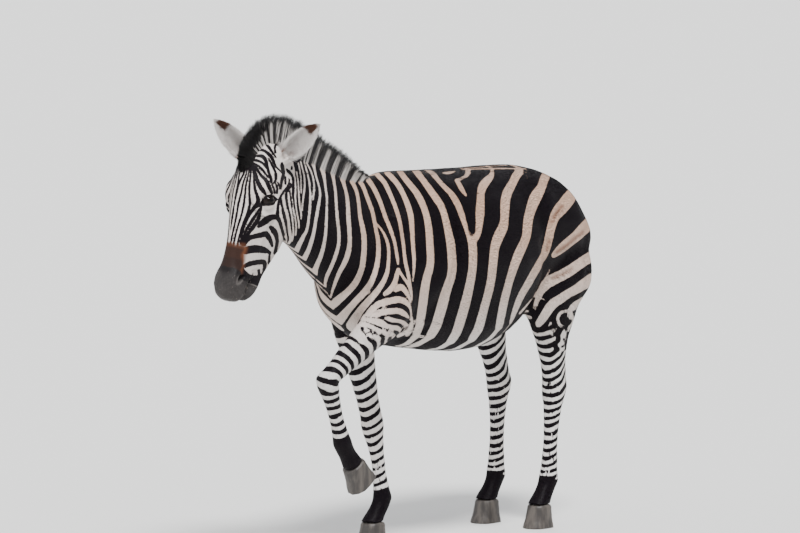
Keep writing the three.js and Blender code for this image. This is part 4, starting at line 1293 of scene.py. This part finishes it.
# the coat
# way of the hair, as it lies, in the side view: x, z of the place and x, z of the way
coatLay = [
    ((0.30, 1.15), (1.0, -0.18)), ((0.00, 1.10), (0.95, -0.35)), ((0.45, 0.85), (1.0, -0.05)),
    ((0.10, 0.75), (1.0, 0.0)), ((0.65, 1.15), (0.9, -0.5)), ((0.75, 0.90), (0.35, -1.0)),
    ((0.60, 0.75), (0.2, -1.0)), ((-0.25, 1.05), (0.7, -0.7)), ((-0.30, 0.85), (0.5, -0.9)),
    ((-0.45, 1.25), (0.9, -0.35)), ((-0.50, 1.05), (0.7, -0.75)), ((-0.20, 1.25), (1.0, -0.2)),
]


def layAt(points, normals):
    x, z = points[:, 0], points[:, 2]
    way = np.zeros((len(points), 3))
    total = np.zeros(len(points))
    for (px, pz), (wx, wz) in coatLay:
        share = 1 / (((x - px) ** 2 + (z - pz) ** 2) ** 2 + 1e-4)
        way += share[:, None] * unit((wx, 0, wz))
        total += share
    way /= total[:, None]
    legWay = legPlaces(points)[2]
    leg = legShare(points)[:, None]
    way = way * (1 - leg) + legWay * leg
    along, out, side = headPlaces(points)
    cheek = smoothStep(20, -60, out)[:, None]
    spread = np.clip(side / 60, -1, 1)[:, None] * 0.3 * sideWay
    face = headAxis * (1 - 0.35 * cheek) - faceWay * 0.75 * cheek + spread
    face = np.where((along < 60)[:, None], face - faceWay * 0.3, face)
    head = smoothStep(headEnd + 0.03, headEnd - 0.03, x)[:, None] * (z > headFloor)[:, None]
    way = way * (1 - head) + face * head
    way = np.where(inEars(points)[:, None], earPlaces(points)[2], way)
    swirl = np.stack([ripple(points, 0.05, s) for s in (1.0, 2.0, 3.0)], 1) * 0.16
    way = unit(way) + swirl + rng.normal(0, 0.09, (len(points), 3))
    way -= normals * np.sum(way * normals, axis=1, keepdims=True)
    return unit(way)


def unwrapAt(points):
    # a place from 0 to 1 each way on an unwrap of the skin: round the head, the body or the leg, and along it
    x, y, z = points.T
    u = 0.5 + np.arctan2(y, z - 1.02) / (2 * math.pi)
    v = 0.05 + 0.9 * (x + 0.75) / 1.70
    along, out, side = headPlaces(points)
    head = isFine(points)
    u = np.where(head, 0.5 + np.arctan2(side, out + 60) / (2 * math.pi), u)
    v = np.where(head, 0.05 + 0.65 * np.clip((along + 120) / 660, 0, 1), v)
    down, which = legPlaces(points)[::3]
    leg = (legShare(points) > 0.5) & ~head
    middleY = np.take([joints[1][1] for joints in legJoints.values()], which)
    around = 0.5 + np.arctan2(y - middleY, x - boneX(down, which)) / (2 * math.pi)
    u = np.where(leg, (which + 0.03 + 0.94 * around) / 4, u)
    v = np.where(leg, 0.05 + 0.9 * np.clip(down / 0.9, 0, 1), v)
    share = earPlaces(points)[0]
    ear = share > 0.02
    u = np.where(ear, np.where(y < 0, 0.25, 0.75) + np.clip(z - 1.45 + x + 0.70, -0.2, 0.2), u)
    v = np.where(ear, 0.78 + 0.18 * np.clip(share, 0, 1), v)
    return u * 0.98 + 0.01, v


centres = skinPoints[skinTriangles].mean(1)
triangleCross = np.cross(skinPoints[skinTriangles[:, 1]] - skinPoints[skinTriangles[:, 0]],
                         skinPoints[skinTriangles[:, 2]] - skinPoints[skinTriangles[:, 0]])
triangleAreas = np.linalg.norm(triangleCross, axis=1) / 2


def scatter(count, picked, density=None):
    # even places on the picked triangles, with the skin's normal there
    tris = skinTriangles[picked]
    share = triangleAreas[picked] * (1 if density is None else density(centres[picked]))
    cell = np.floor(centres[picked] / 0.012).astype(int)
    order = np.lexsort((cell[:, 2], cell[:, 1], cell[:, 0]))
    total = np.cumsum(share[order])
    at = (np.arange(count) + rng.random(count)) / count * total[-1]
    chosen = tris[order[np.minimum(np.searchsorted(total, at), len(order) - 1)]]
    r, s = rng.random((2, count, 1))
    r, s = np.where(r + s > 1, 1 - r, r), np.where(r + s > 1, 1 - s, s)
    a, b, c = (skinPoints[chosen[:, k]] for k in range(3))
    na, nb, nc = (skinNormals[chosen[:, k]] for k in range(3))
    return a + r * (b - a) + s * (c - a), unit(na + r * (nb - na) + s * (nc - na))


def linkAll(tree, *pairs):
    for start, end in pairs:
        tree.links.new(start, end)


def makeTuftTree():
    # one tapered tuft on each point, turned, scaled and bent by the point's own values
    tree = bpy.data.node_groups.new("tufts", "GeometryNodeTree")
    face = tree.interface
    for name, kind in (("Roots", "Geometry"), ("Sides", "Int"), ("Segments", "Int"), ("Thickness", "Float"),
                       ("Patch", "Float"), ("Seed", "Int"), ("Finish", "Material")):
        face.new_socket(name=name, in_out="INPUT", socket_type="NodeSocket" + kind)
    face.new_socket(name="Tufts", in_out="OUTPUT", socket_type="NodeSocketGeometry")
    make = tree.nodes.new
    given = make("NodeGroupInput").outputs

    def named(name, kind="FLOAT"):
        node = make("GeometryNodeInputNamedAttribute")
        node.data_type = kind
        node.inputs["Name"].default_value = name
        return node.outputs["Attribute"]

    def stored(geometry, name, value, kind="FLOAT", domain="POINT"):
        node = make("GeometryNodeStoreNamedAttribute")
        node.data_type, node.domain = kind, domain
        node.inputs["Name"].default_value = name
        linkAll(tree, (geometry, node.inputs["Geometry"]), (value, node.inputs["Value"]))
        return node.outputs["Geometry"]

    def worked(operation, a, b, vector=False):
        node = make("ShaderNodeVectorMath" if vector else "ShaderNodeMath")
        node.operation = operation
        for i, value in enumerate((a, b)):
            feed(tree, node.inputs["Scale" if vector and i else i], value)
        return node.outputs[0]

    cone = make("GeometryNodeMeshCone")
    cone.fill_type = "NONE"
    cone.inputs["Radius Top"].default_value = 0
    cone.inputs["Radius Bottom"].default_value = 1
    cone.inputs["Depth"].default_value = 1
    linkAll(tree, (given["Sides"], cone.inputs["Vertices"]), (given["Segments"], cone.inputs["Side Segments"]))
    place = make("ShaderNodeSeparateXYZ")
    tree.links.new(make("GeometryNodeInputPosition").outputs[0], place.inputs[0])
    shape = stored(cone.outputs["Mesh"], "rise", place.outputs["Z"])
    shape = stored(shape, "across", place.outputs["Y"])
    turn = make("FunctionNodeAxesToRotation")
    turn.primary_axis, turn.secondary_axis = "Z", "X"
    linkAll(tree, (named("way", "FLOAT_VECTOR"), turn.inputs[0]), (named("out", "FLOAT_VECTOR"), turn.inputs[1]))
    scale = make("ShaderNodeCombineXYZ")
    chance = make("FunctionNodeRandomValue")
    chance.data_type = "FLOAT"
    chance.inputs[2].default_value, chance.inputs[3].default_value = 0.8, 1.2
    tree.links.new(given["Seed"], chance.inputs["Seed"])
    width = worked("MULTIPLY", named("width"), chance.outputs[1])
    linkAll(tree, (worked("MULTIPLY", width, given["Thickness"]), scale.inputs[0]), (width, scale.inputs[1]),
            (named("length"), scale.inputs[2]))
    spread = make("GeometryNodeInstanceOnPoints")
    linkAll(tree, (given["Roots"], spread.inputs["Points"]), (shape, spread.inputs["Instance"]),
            (turn.outputs[0], spread.inputs["Rotation"]), (scale.outputs[0], spread.inputs["Scale"]))
    real = make("GeometryNodeRealizeInstances")
    tree.links.new(spread.outputs[0], real.inputs[0])
    curve = worked("SCALE", named("bend", "FLOAT_VECTOR"), worked("POWER", named("rise"), 2.0), vector=True)
    move = make("GeometryNodeSetPosition")
    linkAll(tree, (real.outputs[0], move.inputs["Geometry"]), (curve, move.inputs["Offset"]))
    across = worked("MULTIPLY", named("across"), 0.55)
    patchU = worked("ADD", named("rootU"), worked("MULTIPLY", across, given["Patch"]))
    patchV = worked("ADD", named("rootV"), worked("MULTIPLY", worked("SUBTRACT", named("rise"), 0.5), given["Patch"]))
    uv = make("ShaderNodeCombineXYZ")
    linkAll(tree, (patchU, uv.inputs[0]), (patchV, uv.inputs[1]))
    mapped = stored(move.outputs[0], "OFBake", uv.outputs[0], "FLOAT2", "CORNER")
    smooth = make("GeometryNodeSetShadeSmooth")
    finish = make("GeometryNodeSetMaterial")
    linkAll(tree, (mapped, smooth.inputs["Geometry"]), (smooth.outputs[0], finish.inputs["Geometry"]),
            (given["Finish"], finish.inputs["Material"]), (finish.outputs[0], make("NodeGroupOutput").inputs["Tufts"]))
    return tree


tuftTree = makeTuftTree()


def growTufts(name, roots, values, finish, sides=3, segments=1, thickness=0.4):
    mesh = bpy.data.meshes.new(name + "Roots")
    mesh.vertices.add(len(roots))
    mesh.vertices.foreach_set("co", roots.astype(np.float32).ravel())
    addValues(mesh, values)
    thing = linked(name, mesh)
    grow = thing.modifiers.new("tufts", "NODES")
    grow.node_group = tuftTree
    wanted = {"Sides": sides, "Segments": segments, "Thickness": thickness, "Patch": 0.003, "Seed": 3, "Finish": finish}
    for item in tuftTree.interface.items_tree:
        if item.in_out == "INPUT" and item.name in wanted:
            grow[item.identifier] = wanted[item.name]
    made = evaluated(thing)
    for held in ("way", "out", "width", "length", "bend", "rootU", "rootV", "across"):
        if held in made.attributes:
            made.attributes.remove(made.attributes[held])
    if not made.materials:
        made.materials.append(finish)
    piece = linked(name, made)
    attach(piece, "root")
    print(name, len(roots), "tufts", sum(len(p.vertices) - 2 for p in made.polygons), "triangles")
    return piece


def makeCoatFinish():
    finish, tree, shader = newFinish("coat")
    tone = attributeNode(tree, "tone")
    rise = attributeNode(tree, "rise")
    passed = maths(tree, "ADD", maths(tree, "MULTIPLY", rise, 0.6), 0.25)
    turned = maths(tree, "MULTIPLY", attributeNode(tree, "turn"), passed)
    stripe = maths(tree, "ADD", attributeNode(tree, "stripe"), turned)
    links = {"Stripe": stripe, "Fleck": ranged(tree, tone, 0.6, 1.0, 0.0, 0.35)}
    links.update({name.title(): attributeNode(tree, name) for name in ("warm", "rust", "bare")})
    node = placeGroup(tree, shader, coatGroup, links, {"Edge": 0.0006})
    # painted shade at the root of each tuft, where the tufts above it would shade it
    rootShade = ranged(tree, rise, 0.0, 0.7, 0.42, 0.0)
    shaded = mixed(tree, rootShade, node.outputs["Color"], coatColours["root"], "MULTIPLY")
    tree.links.new(shaded, shader.inputs["Base Color"])
    shader.inputs["Specular IOR Level"].default_value = 0.06
    return finish


coatFinish = makeCoatFinish()
coat = {
    "tufts": 58000, "quick": 12000,  # in each of its pieces
    "lift": 0.13,  # how far the tips stand off, as a share of the length
    "sink": 0.0006,
    "body": (0.0105, 0.00145), "neck": (0.0085, 0.00115), "throat": (0.0070, 0.0009),
    "legs": (0.0075, 0.0013), "head": (0.0055, 0.0008), "muzzle": (0.0036, 0.0006), "ears": (0.0075, 0.0007),
}


def tuftSizes(points):
    head = smoothStep(headEnd + 0.01, headEnd - 0.02, points[:, 0]) * (points[:, 2] > headFloor)
    neck = smoothStep(0.04, -0.12, points[:, 0])
    throat = smoothStep(-0.52, -0.62, points[:, 0])
    muzzle = head * smoothStep(380, 440, headPlaces(points)[0])
    size = np.tile(coat["body"], (len(points), 1))
    for share, name in ((neck, "neck"), (throat, "throat"), (legShare(points), "legs"), (head, "head"),
                        (muzzle, "muzzle"), (inEars(points), "ears")):
        size = size + (np.array(coat[name]) - size) * share[:, None]
    lid = fromLids(points, -10)
    near = smoothStep(22, 4, lid)[:, None]
    return size * (1 - 0.5 * near), lid


def onCoat(places, heights):  # the same places at these heights over the skin
    made = []
    for place, height in zip(places, heights):
        on, normal, _, _ = skinTree.find_nearest(place)
        made.append(on + normal * height)
    return np.array(made)


def growCoat(name, picked, finer=1.0, density=None):
    count = pick(coat, "tufts")
    wider = math.sqrt(coat["tufts"] / count)  # fewer tufts are wider
    roots, normals = scatter(count, picked, density)
    size, lid = tuftSizes(roots)
    along, out, side = headPlaces(roots)
    a, b = nostrilPlaces(along, out)
    mouth = (mouthDistance(along, out) < 1.6) & (along > 410)
    nose = (np.hypot(a / nostril["half"][0], b / nostril["half"][1]) < 1) & (np.abs(side) > 24)
    keep = (lid > 1.8) & ~(isHead(roots) & (mouth | nose))
    roots, normals, size = roots[keep], normals[keep], size[keep]
    way = layAt(roots, normals)
    length = size[:, 0] * rng.uniform(0.75, 1.2, len(roots)) * finer
    values = markingsAt(roots, normals)
    values["turn"] = stripesAt(roots + way * length[:, None], normals) - values["stripe"]
    tips = onCoat(roots + way * length[:, None], coat["lift"] * length * rng.uniform(0.6, 1.5, len(roots)))
    u, v = unwrapAt(roots)
    values.update({
        "way": unit(tips - roots), "out": normals, "length": length * min(wider, 1.3),
        "width": size[:, 1] * finer * wider, "bend": np.zeros((len(roots), 3)),
        "rootU": u, "rootV": v, "tone": rng.random(len(roots)) * (1 - 0.5 * inEars(roots)),
    })
    return growTufts(name, roots - normals * coat["sink"], values, coatFinish)


def denserShoulder(points):
    return 1 + 0.7 * smoothStep(0.02, -0.10, points[:, 0])


fineRegion = isFine(centres)
legRegion = (legShare(centres) > 0.5) & ~fineRegion
neckRegion = (centres[:, 0] < -0.20) & ~fineRegion & ~legRegion
bodyRegion = ~(fineRegion | legRegion | neckRegion)
mouthSide = headPlaces(centres)[0] > 200
growCoat("coatHead", fineRegion & ~mouthSide)
growCoat("coatFace", fineRegion & mouthSide, 0.9)
growCoat("coatNeck", neckRegion)
front, left = centres[:, 0] < 0.32, centres[:, 1] < 0
growCoat("coatShoulderLeft", bodyRegion & left & front, 1.0, denserShoulder)
growCoat("coatShoulderRight", bodyRegion & ~left & front, 1.0, denserShoulder)
growCoat("coatHaunchLeft", bodyRegion & left & ~front)
growCoat("coatHaunchRight", bodyRegion & ~left & ~front)
growCoat("coatLegs", legRegion)
print("coat grown")

# the mane
mane = {
    "locks": 7800, "quick": 1200,
    "segments": 4, "width": 0.0019, "backward": 1.25,
    "grey": (0.43, 0.40, 0.375), "tip": (0.006, 0.005, 0.005),
}
lockColours = {"dull": (0.055, 0.048, 0.043), "dark": (0.008, 0.006, 0.006)}  # of mane and tail
# from the withers over the poll to the forelock: x and z at the top, x and z inside the neck, half thickness at the top
maneRows = [
    (-0.173, 1.286, -0.158, 1.262, 0.004), (-0.239, 1.341, -0.213, 1.262, 0.009), (-0.320, 1.394, -0.293, 1.270, 0.011),
    (-0.388, 1.432, -0.368, 1.305, 0.012), (-0.456, 1.468, -0.443, 1.338, 0.012), (-0.518, 1.499, -0.513, 1.366, 0.012),
    (-0.576, 1.523, -0.578, 1.386, 0.012), (-0.635, 1.537, -0.635, 1.398, 0.013), (-0.708, 1.532, -0.688, 1.398, 0.013),
    (-0.764, 1.511, -0.718, 1.392, 0.013), (-0.803, 1.482, -0.738, 1.380, 0.013), (-0.828, 1.447, -0.753, 1.364, 0.012),
    (-0.840, 1.409, -0.773, 1.348, 0.011), (-0.840, 1.372, -0.795, 1.336, 0.008), (-0.835, 1.345, -0.813, 1.328, 0.004),
]


def maneRow(t):
    rows = np.array(maneRows)
    return np.stack([np.interp(t, np.arange(len(rows)), rows[:, k]) for k in range(5)], 1)


def growMane():
    count = pick(mane, "locks")
    t = (np.arange(count) + rng.random(count)) / count * (len(maneRows) - 1)
    across = rng.uniform(-1, 1, count)
    row = maneRow(t)
    back = mane["backward"] * (1 - smoothStep(7.5, 10.0, t)) * smoothStep(0.0, 1.5, t)
    clump = np.floor(t * 11 + 0.4 * np.sign(across)).astype(int)
    tall, lean = rng.uniform(0.93, 1.02, (200)), rng.normal(0, 0.05, 200)
    gathered = t + ((clump + 0.5) / 11 - t) * 0.65 + lean[clump]
    top = maneRow(np.clip(gathered - back, 0, None))
    reach = rng.uniform(0.90, 1.0, count) * tall[clump]
    wide = 0.024 * smoothStep(0, 1.5, t) * smoothStep(14.2, 12.0, t) + 0.004 + 0.020 * np.exp(-((t - 7.6) / 1.2) ** 2)
    tips = np.stack([top[:, 0], across * top[:, 4] * 1.25, top[:, 1]], 1)
    inside = np.stack([row[:, 2], across * wide, row[:, 3]], 1)
    start = np.stack([row[:, 0], across * wide, row[:, 1]], 1) + (0, 0, 0.02)
    roots = []
    for a, b in zip(start, inside):
        hit = skinTree.ray_cast(Vector(a), Vector(b - a).normalized(), 0.25)[0]
        roots.append(b if hit is None else np.array(hit) + unit(b - a) * 0.002)
    roots = np.array(roots)
    tips = roots + (tips - roots) * reach[:, None]
    tips[:, 1] += rng.normal(0, 0.002, count)
    along = tips - roots
    length = np.linalg.norm(along, axis=1)
    forelock = smoothStep(10.6, 12.0, t)
    marks = stripesAt(roots, np.tile((0, 0, 1.0), (count, 1)))
    over = smoothStep(6.6, 7.4, t)
    marks = marks + (0.004 * np.sin(2 * math.pi * (t + 0.25 * across) / 0.42) - 0.0012 - marks) * over
    bend = np.stack([0.010 * (1 - forelock) * rng.uniform(0.2, 1.2, count), rng.normal(0, 0.003, count),
                     -0.004 - 0.006 * forelock], 1)
    u, v = unwrapAt(roots)
    values = {
        "way": unit(along - bend), "out": np.tile((0, 1.0, 0.02), (count, 1)), "length": length,
        "width": mane["width"] * rng.uniform(0.7, 1.3, count) * math.sqrt(mane["locks"] / count), "bend": bend,
        "stripe": np.maximum(marks, -0.004 + 0.02 * forelock), "dark": forelock, "tone": rng.random(count),
        "front": smoothStep(8.2, 9.8, t), "rootU": u, "rootV": v,
    }
    return roots, values


def makeManeFinish(name, settings, darkFrom):
    finish, tree, shader = newFinish(name)
    tone, rise = attributeNode(tree, "tone"), attributeNode(tree, "rise")
    dark = ranged(tree, attributeNode(tree, "stripe"), -0.0015, 0.0015)
    grey = mixed(tree, ranged(tree, tone, 0.55, 1.0, 0.0, 0.8), settings["grey"], lockColours["dull"])
    colour = mixed(tree, dark, grey, lockColours["dark"])
    high = maths(tree, "ADD", rise, maths(tree, "MULTIPLY", tone, 0.16))
    high = maths(tree, "ADD", high, maths(tree, "MULTIPLY", attributeNode(tree, "front"), 0.36))
    colour = mixed(tree, ranged(tree, high, darkFrom, darkFrom + 0.12), colour, settings["tip"])
    colour = mixed(tree, attributeNode(tree, "dark"), colour, settings["tip"])
    tree.links.new(colour, shader.inputs["Base Color"])
    shader.inputs["Roughness"].default_value = 0.5
    shader.inputs["Specular IOR Level"].default_value = 0.25
    return finish


maneRoots, maneValues = growMane()
manePiece = growTufts("maneHair", maneRoots, maneValues, makeManeFinish("mane", mane, 0.72), segments=mane["segments"],
                      thickness=0.8)
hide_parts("mane")

# the tail
tail = {
    "locks": 1700, "quick": 500, "width": 0.0028,
    "grey": (0.55, 0.53, 0.51), "tip": (0.010, 0.008, 0.007),
}
tailRoute = [  # x, y, z and radius down the tail
    (0.833, 0.002, 1.140, 0.024), (0.873, 0.003, 1.128, 0.024), (0.905, 0.005, 1.085, 0.022),
    (0.909, 0.008, 1.000, 0.019), (0.891, 0.012, 0.880, 0.020), (0.863, 0.016, 0.740, 0.030),
    (0.839, 0.020, 0.600, 0.026), (0.829, 0.022, 0.505, 0.008),
]


def tailPlace(t, angle, share):
    rows = np.array(tailRoute)
    x, y, z, r = (np.interp(t, np.arange(len(rows)), rows[:, k]) for k in range(4))
    return np.stack([x + np.cos(angle) * r * share, y + np.sin(angle) * r * share, z], 1)


def growTail():
    count = pick(tail, "locks")
    angle = rng.uniform(0, 2 * math.pi, count)
    start = rng.uniform(2.9, 5.0, count)
    end = np.minimum(start + rng.uniform(1.4, 3.2, count), rng.uniform(6.2, 7.0, count))
    roots = tailPlace(start, angle, rng.uniform(0.5, 0.8, count))
    tips = tailPlace(end, angle + rng.normal(0, 0.3, count), rng.uniform(0.3, 1.0, count))
    middle = tailPlace((start + end) / 2, angle, rng.uniform(0.75, 0.98, count))
    bend = (tips + roots - 2 * middle) * 2
    along = tips - roots
    u = 0.5 + angle / (2 * math.pi) * 0.4
    sides = np.where(np.abs(np.sin(angle)) > 0.5, -0.01, 0.01)
    values = {
        "way": unit(along - bend), "out": unit(np.stack([np.cos(angle), np.sin(angle), np.full(count, 0.1)], 1)),
        "length": np.linalg.norm(along - bend, axis=1), "bend": bend,
        "width": tail["width"] * rng.uniform(0.7, 1.3, count) * math.sqrt(tail["locks"] / count),
        "stripe": np.where(start < 4.0 + 0.5 * rng.random(count), sides, 0.01),
        "dark": smoothStep(4.2, 4.8, start), "tone": rng.random(count), "rootU": u, "rootV": start / 8,
    }
    return roots, values


tailRoots, tailValues = growTail()
tailPiece = growTufts("tailHair", tailRoots, tailValues, makeManeFinish("tail", tail, 0.62), segments=5, thickness=0.8)
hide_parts("tail")
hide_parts("tail")

# hair of the ears, lashes and whiskers
fineHair = {"ears": 5200, "quick": 900, "lashes": 44, "whiskers": 110}


def growFineHair():
    share, facing, _ = earPlaces(centres, unit(triangleCross))
    roots, normals = scatter(pick(fineHair, "ears"), (share > 0.03) & (share < 0.97) & (facing > 0.15))
    share, _, tipWay = earPlaces(roots, normals)
    count = len(roots)
    way = unit(tipWay + normals * rng.uniform(0.25, 0.7, count)[:, None] + rng.normal(0, 0.16, (count, 3)))
    marks = markingsAt(roots, normals)
    length = 0.020 * rng.uniform(0.5, 1.1, count) * (1 - 0.5 * share)
    sets = [(roots, way, normals, length, np.full(count, 0.00055), marks)]
    for sign in (-1, 1):
        centre, outward, corner, brow = eyeFrame(sign)
        a = np.linspace(-12, 21, fineHair["lashes"]) + rng.normal(0, 0.4, fineHair["lashes"])
        b = eye["upper"] * (1 - (a / eye["halfLength"]) ** 2) + 0.4
        h = np.sqrt(np.maximum((eye["radius"] + eye["lid"]) ** 2 - a ** 2 - b ** 2, 30)) + 0.2
        lash = centre + (np.outer(a, corner) + np.outer(b, brow) + np.outer(h, outward)) / 1000
        way = unit(outward + 0.05 * brow + np.outer(a / 60, corner) + rng.normal(0, 0.06, (len(a), 3)))
        n = len(a)
        dark = {"stripe": np.full(n, 0.05), "warm": np.zeros(n), "rust": np.zeros(n), "bare": np.zeros(n)}
        sets.append((lash, way, np.tile(brow, (n, 1)), 0.012 * rng.uniform(0.7, 1.1, n), np.full(n, 0.00035), dark))
    roots, normals = scatter(fineHair["whiskers"], isHead(centres) & (headPlaces(centres)[0] > 425))
    n = len(roots)
    way = unit(normals + headAxis * 0.5 + rng.normal(0, 0.12, (n, 3)))
    pale = {"stripe": np.where(rng.random(n) < 0.5, 0.05, -0.02), "warm": np.full(n, 0.5), "rust": np.zeros(n),
            "bare": np.zeros(n)}
    sets.append((roots, way, normals, 0.015 * rng.uniform(0.5, 1.3, n), np.full(n, 0.00014), pale))
    roots = np.concatenate([s[0] for s in sets])
    u, v = unwrapAt(roots)
    values = {name: np.concatenate([s[i] for s in sets]) for i, name in enumerate(("way", "out", "length", "width"), 1)}
    values.update({"rootU": u, "rootV": v, "tone": rng.random(len(roots))})
    values["bend"] = np.array((0, 0, -0.12)) * values["length"][:, None]
    for name in ("stripe", "warm", "rust", "bare"):
        values[name] = np.concatenate([s[5][name] for s in sets])
    return roots, values


fineRoots, fineValues = growFineHair()
growTufts("fineHair", fineRoots, fineValues, coatFinish, segments=3, thickness=0.8)

# the eyes
eyeball = {
    "pupil": (0.30, 0.17), "iris": 0.62, "cornea": 0.0012,  # half angles in radians, bulge in metres
    "brown": ((0.003, 0.002, 0.0015), (0.009, 0.0045, 0.003)),
    "rim": (0.012, 0.008, 0.007), "black": (0.002, 0.002, 0.003),
}


def makeEyeFinish():
    finish, tree, shader = newFinish("eye")
    iris = attributeNode(tree, "iris")
    streaks = noiseNode(tree, 900)
    brown = mixed(tree, ranged(tree, streaks, 0.3, 0.7), *eyeball["brown"])
    colour = mixed(tree, ranged(tree, iris, 0.92, 1.02), brown, eyeball["rim"])
    colour = mixed(tree, ranged(tree, attributeNode(tree, "pupil"), 0.96, 1.04), eyeball["black"], colour)
    tree.links.new(colour, shader.inputs["Base Color"])
    shader.inputs["Roughness"].default_value = 0.06
    shader.inputs["Specular IOR Level"].default_value = 0.10
    shader.inputs["Coat Weight"].default_value = 0.15
    shader.inputs["Coat Roughness"].default_value = 0.02
    return finish


def makeEye(name, sign, finish):
    centre, outward, corner, brow = eyeFrame(sign)
    bm = bmesh.new()
    bmesh.ops.create_icosphere(bm, subdivisions=5, radius=1)
    mesh = meshFrom(bm, name)
    ways = unit(pointsOf(mesh))
    angle = np.arccos(np.clip(ways @ outward, -1, 1))
    a, b = ways @ corner, ways @ brow
    bulge = eyeball["cornea"] * smoothStep(eyeball["iris"] + 0.05, 0.2, angle)
    setPoints(mesh, centre + ways * (eye["radius"] / 1000 - 0.0002 + bulge)[:, None])
    front = ways @ outward > 0
    pupil = np.where(front, np.hypot(a / eyeball["pupil"][0], b / eyeball["pupil"][1]), 9)
    addValues(mesh, {"iris": angle / eyeball["iris"], "pupil": pupil})
    mesh.materials.append(finish)
    shadeSmooth(mesh)
    piece = linked(name + "Ball", mesh)
    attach(piece, "root")
    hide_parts(name)


eyeFinish = makeEyeFinish()
makeEye("eye_left", -1, eyeFinish)
makeEye("eye_right", 1, eyeFinish)
print("eyes done")

# the hooves
hoofLook = {"rings": 0.0006, "spacing": 0.0085, "horn": ((0.030, 0.025, 0.022), (0.085, 0.072, 0.062))}


def makeHoofFinish():
    finish, tree, shader = newFinish("hoof")
    streaks = noiseNode(tree, 60, (1, 1, 0.15), 4.0)
    colour = mixed(tree, ranged(tree, streaks, 0.35, 0.7), *hoofLook["horn"])
    tree.links.new(colour, shader.inputs["Base Color"])
    tree.links.new(ranged(tree, streaks, 0.0, 1.0, 0.42, 0.62), shader.inputs["Roughness"])
    return finish


def makeHoof(name, finish):
    bm = bmesh.new()
    bm.from_mesh(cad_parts[name].data)
    bmesh.ops.remove_doubles(bm, verts=bm.verts, dist=1e-5)
    bmesh.ops.subdivide_edges(bm, edges=bm.edges, cuts=3, use_grid_fill=True)
    bmesh.ops.triangulate(bm, faces=bm.faces)
    bmesh.ops.recalc_face_normals(bm, faces=bm.faces)
    mesh = meshFrom(bm, name)
    points, edges = pointsOf(mesh), edgesOf(mesh)
    joints = [np.array(p) for p in legJoints[name.replace("hoof", "leg")]]
    down = unit(joints[3] - joints[2]) if name == "forehoof_left" else np.array((0, 0, -1.0))
    height = (points - joints[3]) @ down
    sole = height > height.max() - 0.0012
    points = relax(points, edges, np.where(sole, 0.0, 0.5), 4, 0.9)
    mesh.update()
    normals = normalsOf(mesh)
    ring = np.sin(height * 2 * math.pi / hoofLook["spacing"]) * hoofLook["rings"] - 0.0004
    band = 0.0012 * np.exp(-((height - 0.006) / 0.005) ** 2)
    wall = smoothStep(0.001, 0.006, height.max() - height)
    setPoints(mesh, points + normals * ((ring + band) * wall)[:, None])
    mesh.materials.append(finish)
    shadeSmooth(mesh)
    piece = linked(name + "Wall", mesh)
    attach(piece, "root")
    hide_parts(name)


hoofFinish = makeHoofFinish()
for name in ("forehoof_left", "forehoof_right", "hindhoof_left", "hindhoof_right"):
    makeHoof(name, hoofFinish)
print("hooves done")

# floor and light
studio = {
    "sky": 0.78, "skyColour": (0.93, 0.95, 1.0, 1), "floor": (0.78, 0.78, 0.76, 1), "size": 150,
    "lamps": {  # place it shines from, softness in degrees and strength
        "key": ((-2.4, -3.4, 8.0), 16, 4.6),
        "fill": ((-6.0, 3.0, 2.5), 50, 0.7),
        "back": ((4.0, 4.0, 4.5), 30, 1.0),
    },
}


def makeStudio():
    bm = bmesh.new()
    bmesh.ops.create_grid(bm, x_segments=1, y_segments=1, size=studio["size"])
    mesh = meshFrom(bm, "floor")
    floor = linked("floor", mesh)
    finish, _, shader = newFinish("floor")
    shader.inputs["Base Color"].default_value = studio["floor"]
    shader.inputs["Roughness"].default_value = 0.9
    mesh.materials.append(finish)
    world = bpy.data.worlds.new("world")
    world.use_nodes = True
    sky = world.node_tree.nodes["Background"]
    sky.inputs[0].default_value, sky.inputs[1].default_value = studio["skyColour"], studio["sky"]
    bpy.context.scene.world = world
    for name, (place, soft, power) in studio["lamps"].items():
        data = bpy.data.lights.new(name, "SUN")
        data.angle, data.energy = math.radians(soft), power
        lamp = bpy.data.objects.new(name, data)
        lamp.location = place
        lamp.rotation_mode = "QUATERNION"
        lamp.rotation_quaternion = (Vector((0, 0, 0.9)) - Vector(place)).to_track_quat("-Z", "Y")
        bpy.context.scene.collection.objects.link(lamp)


makeStudio()
print("floor and light done")
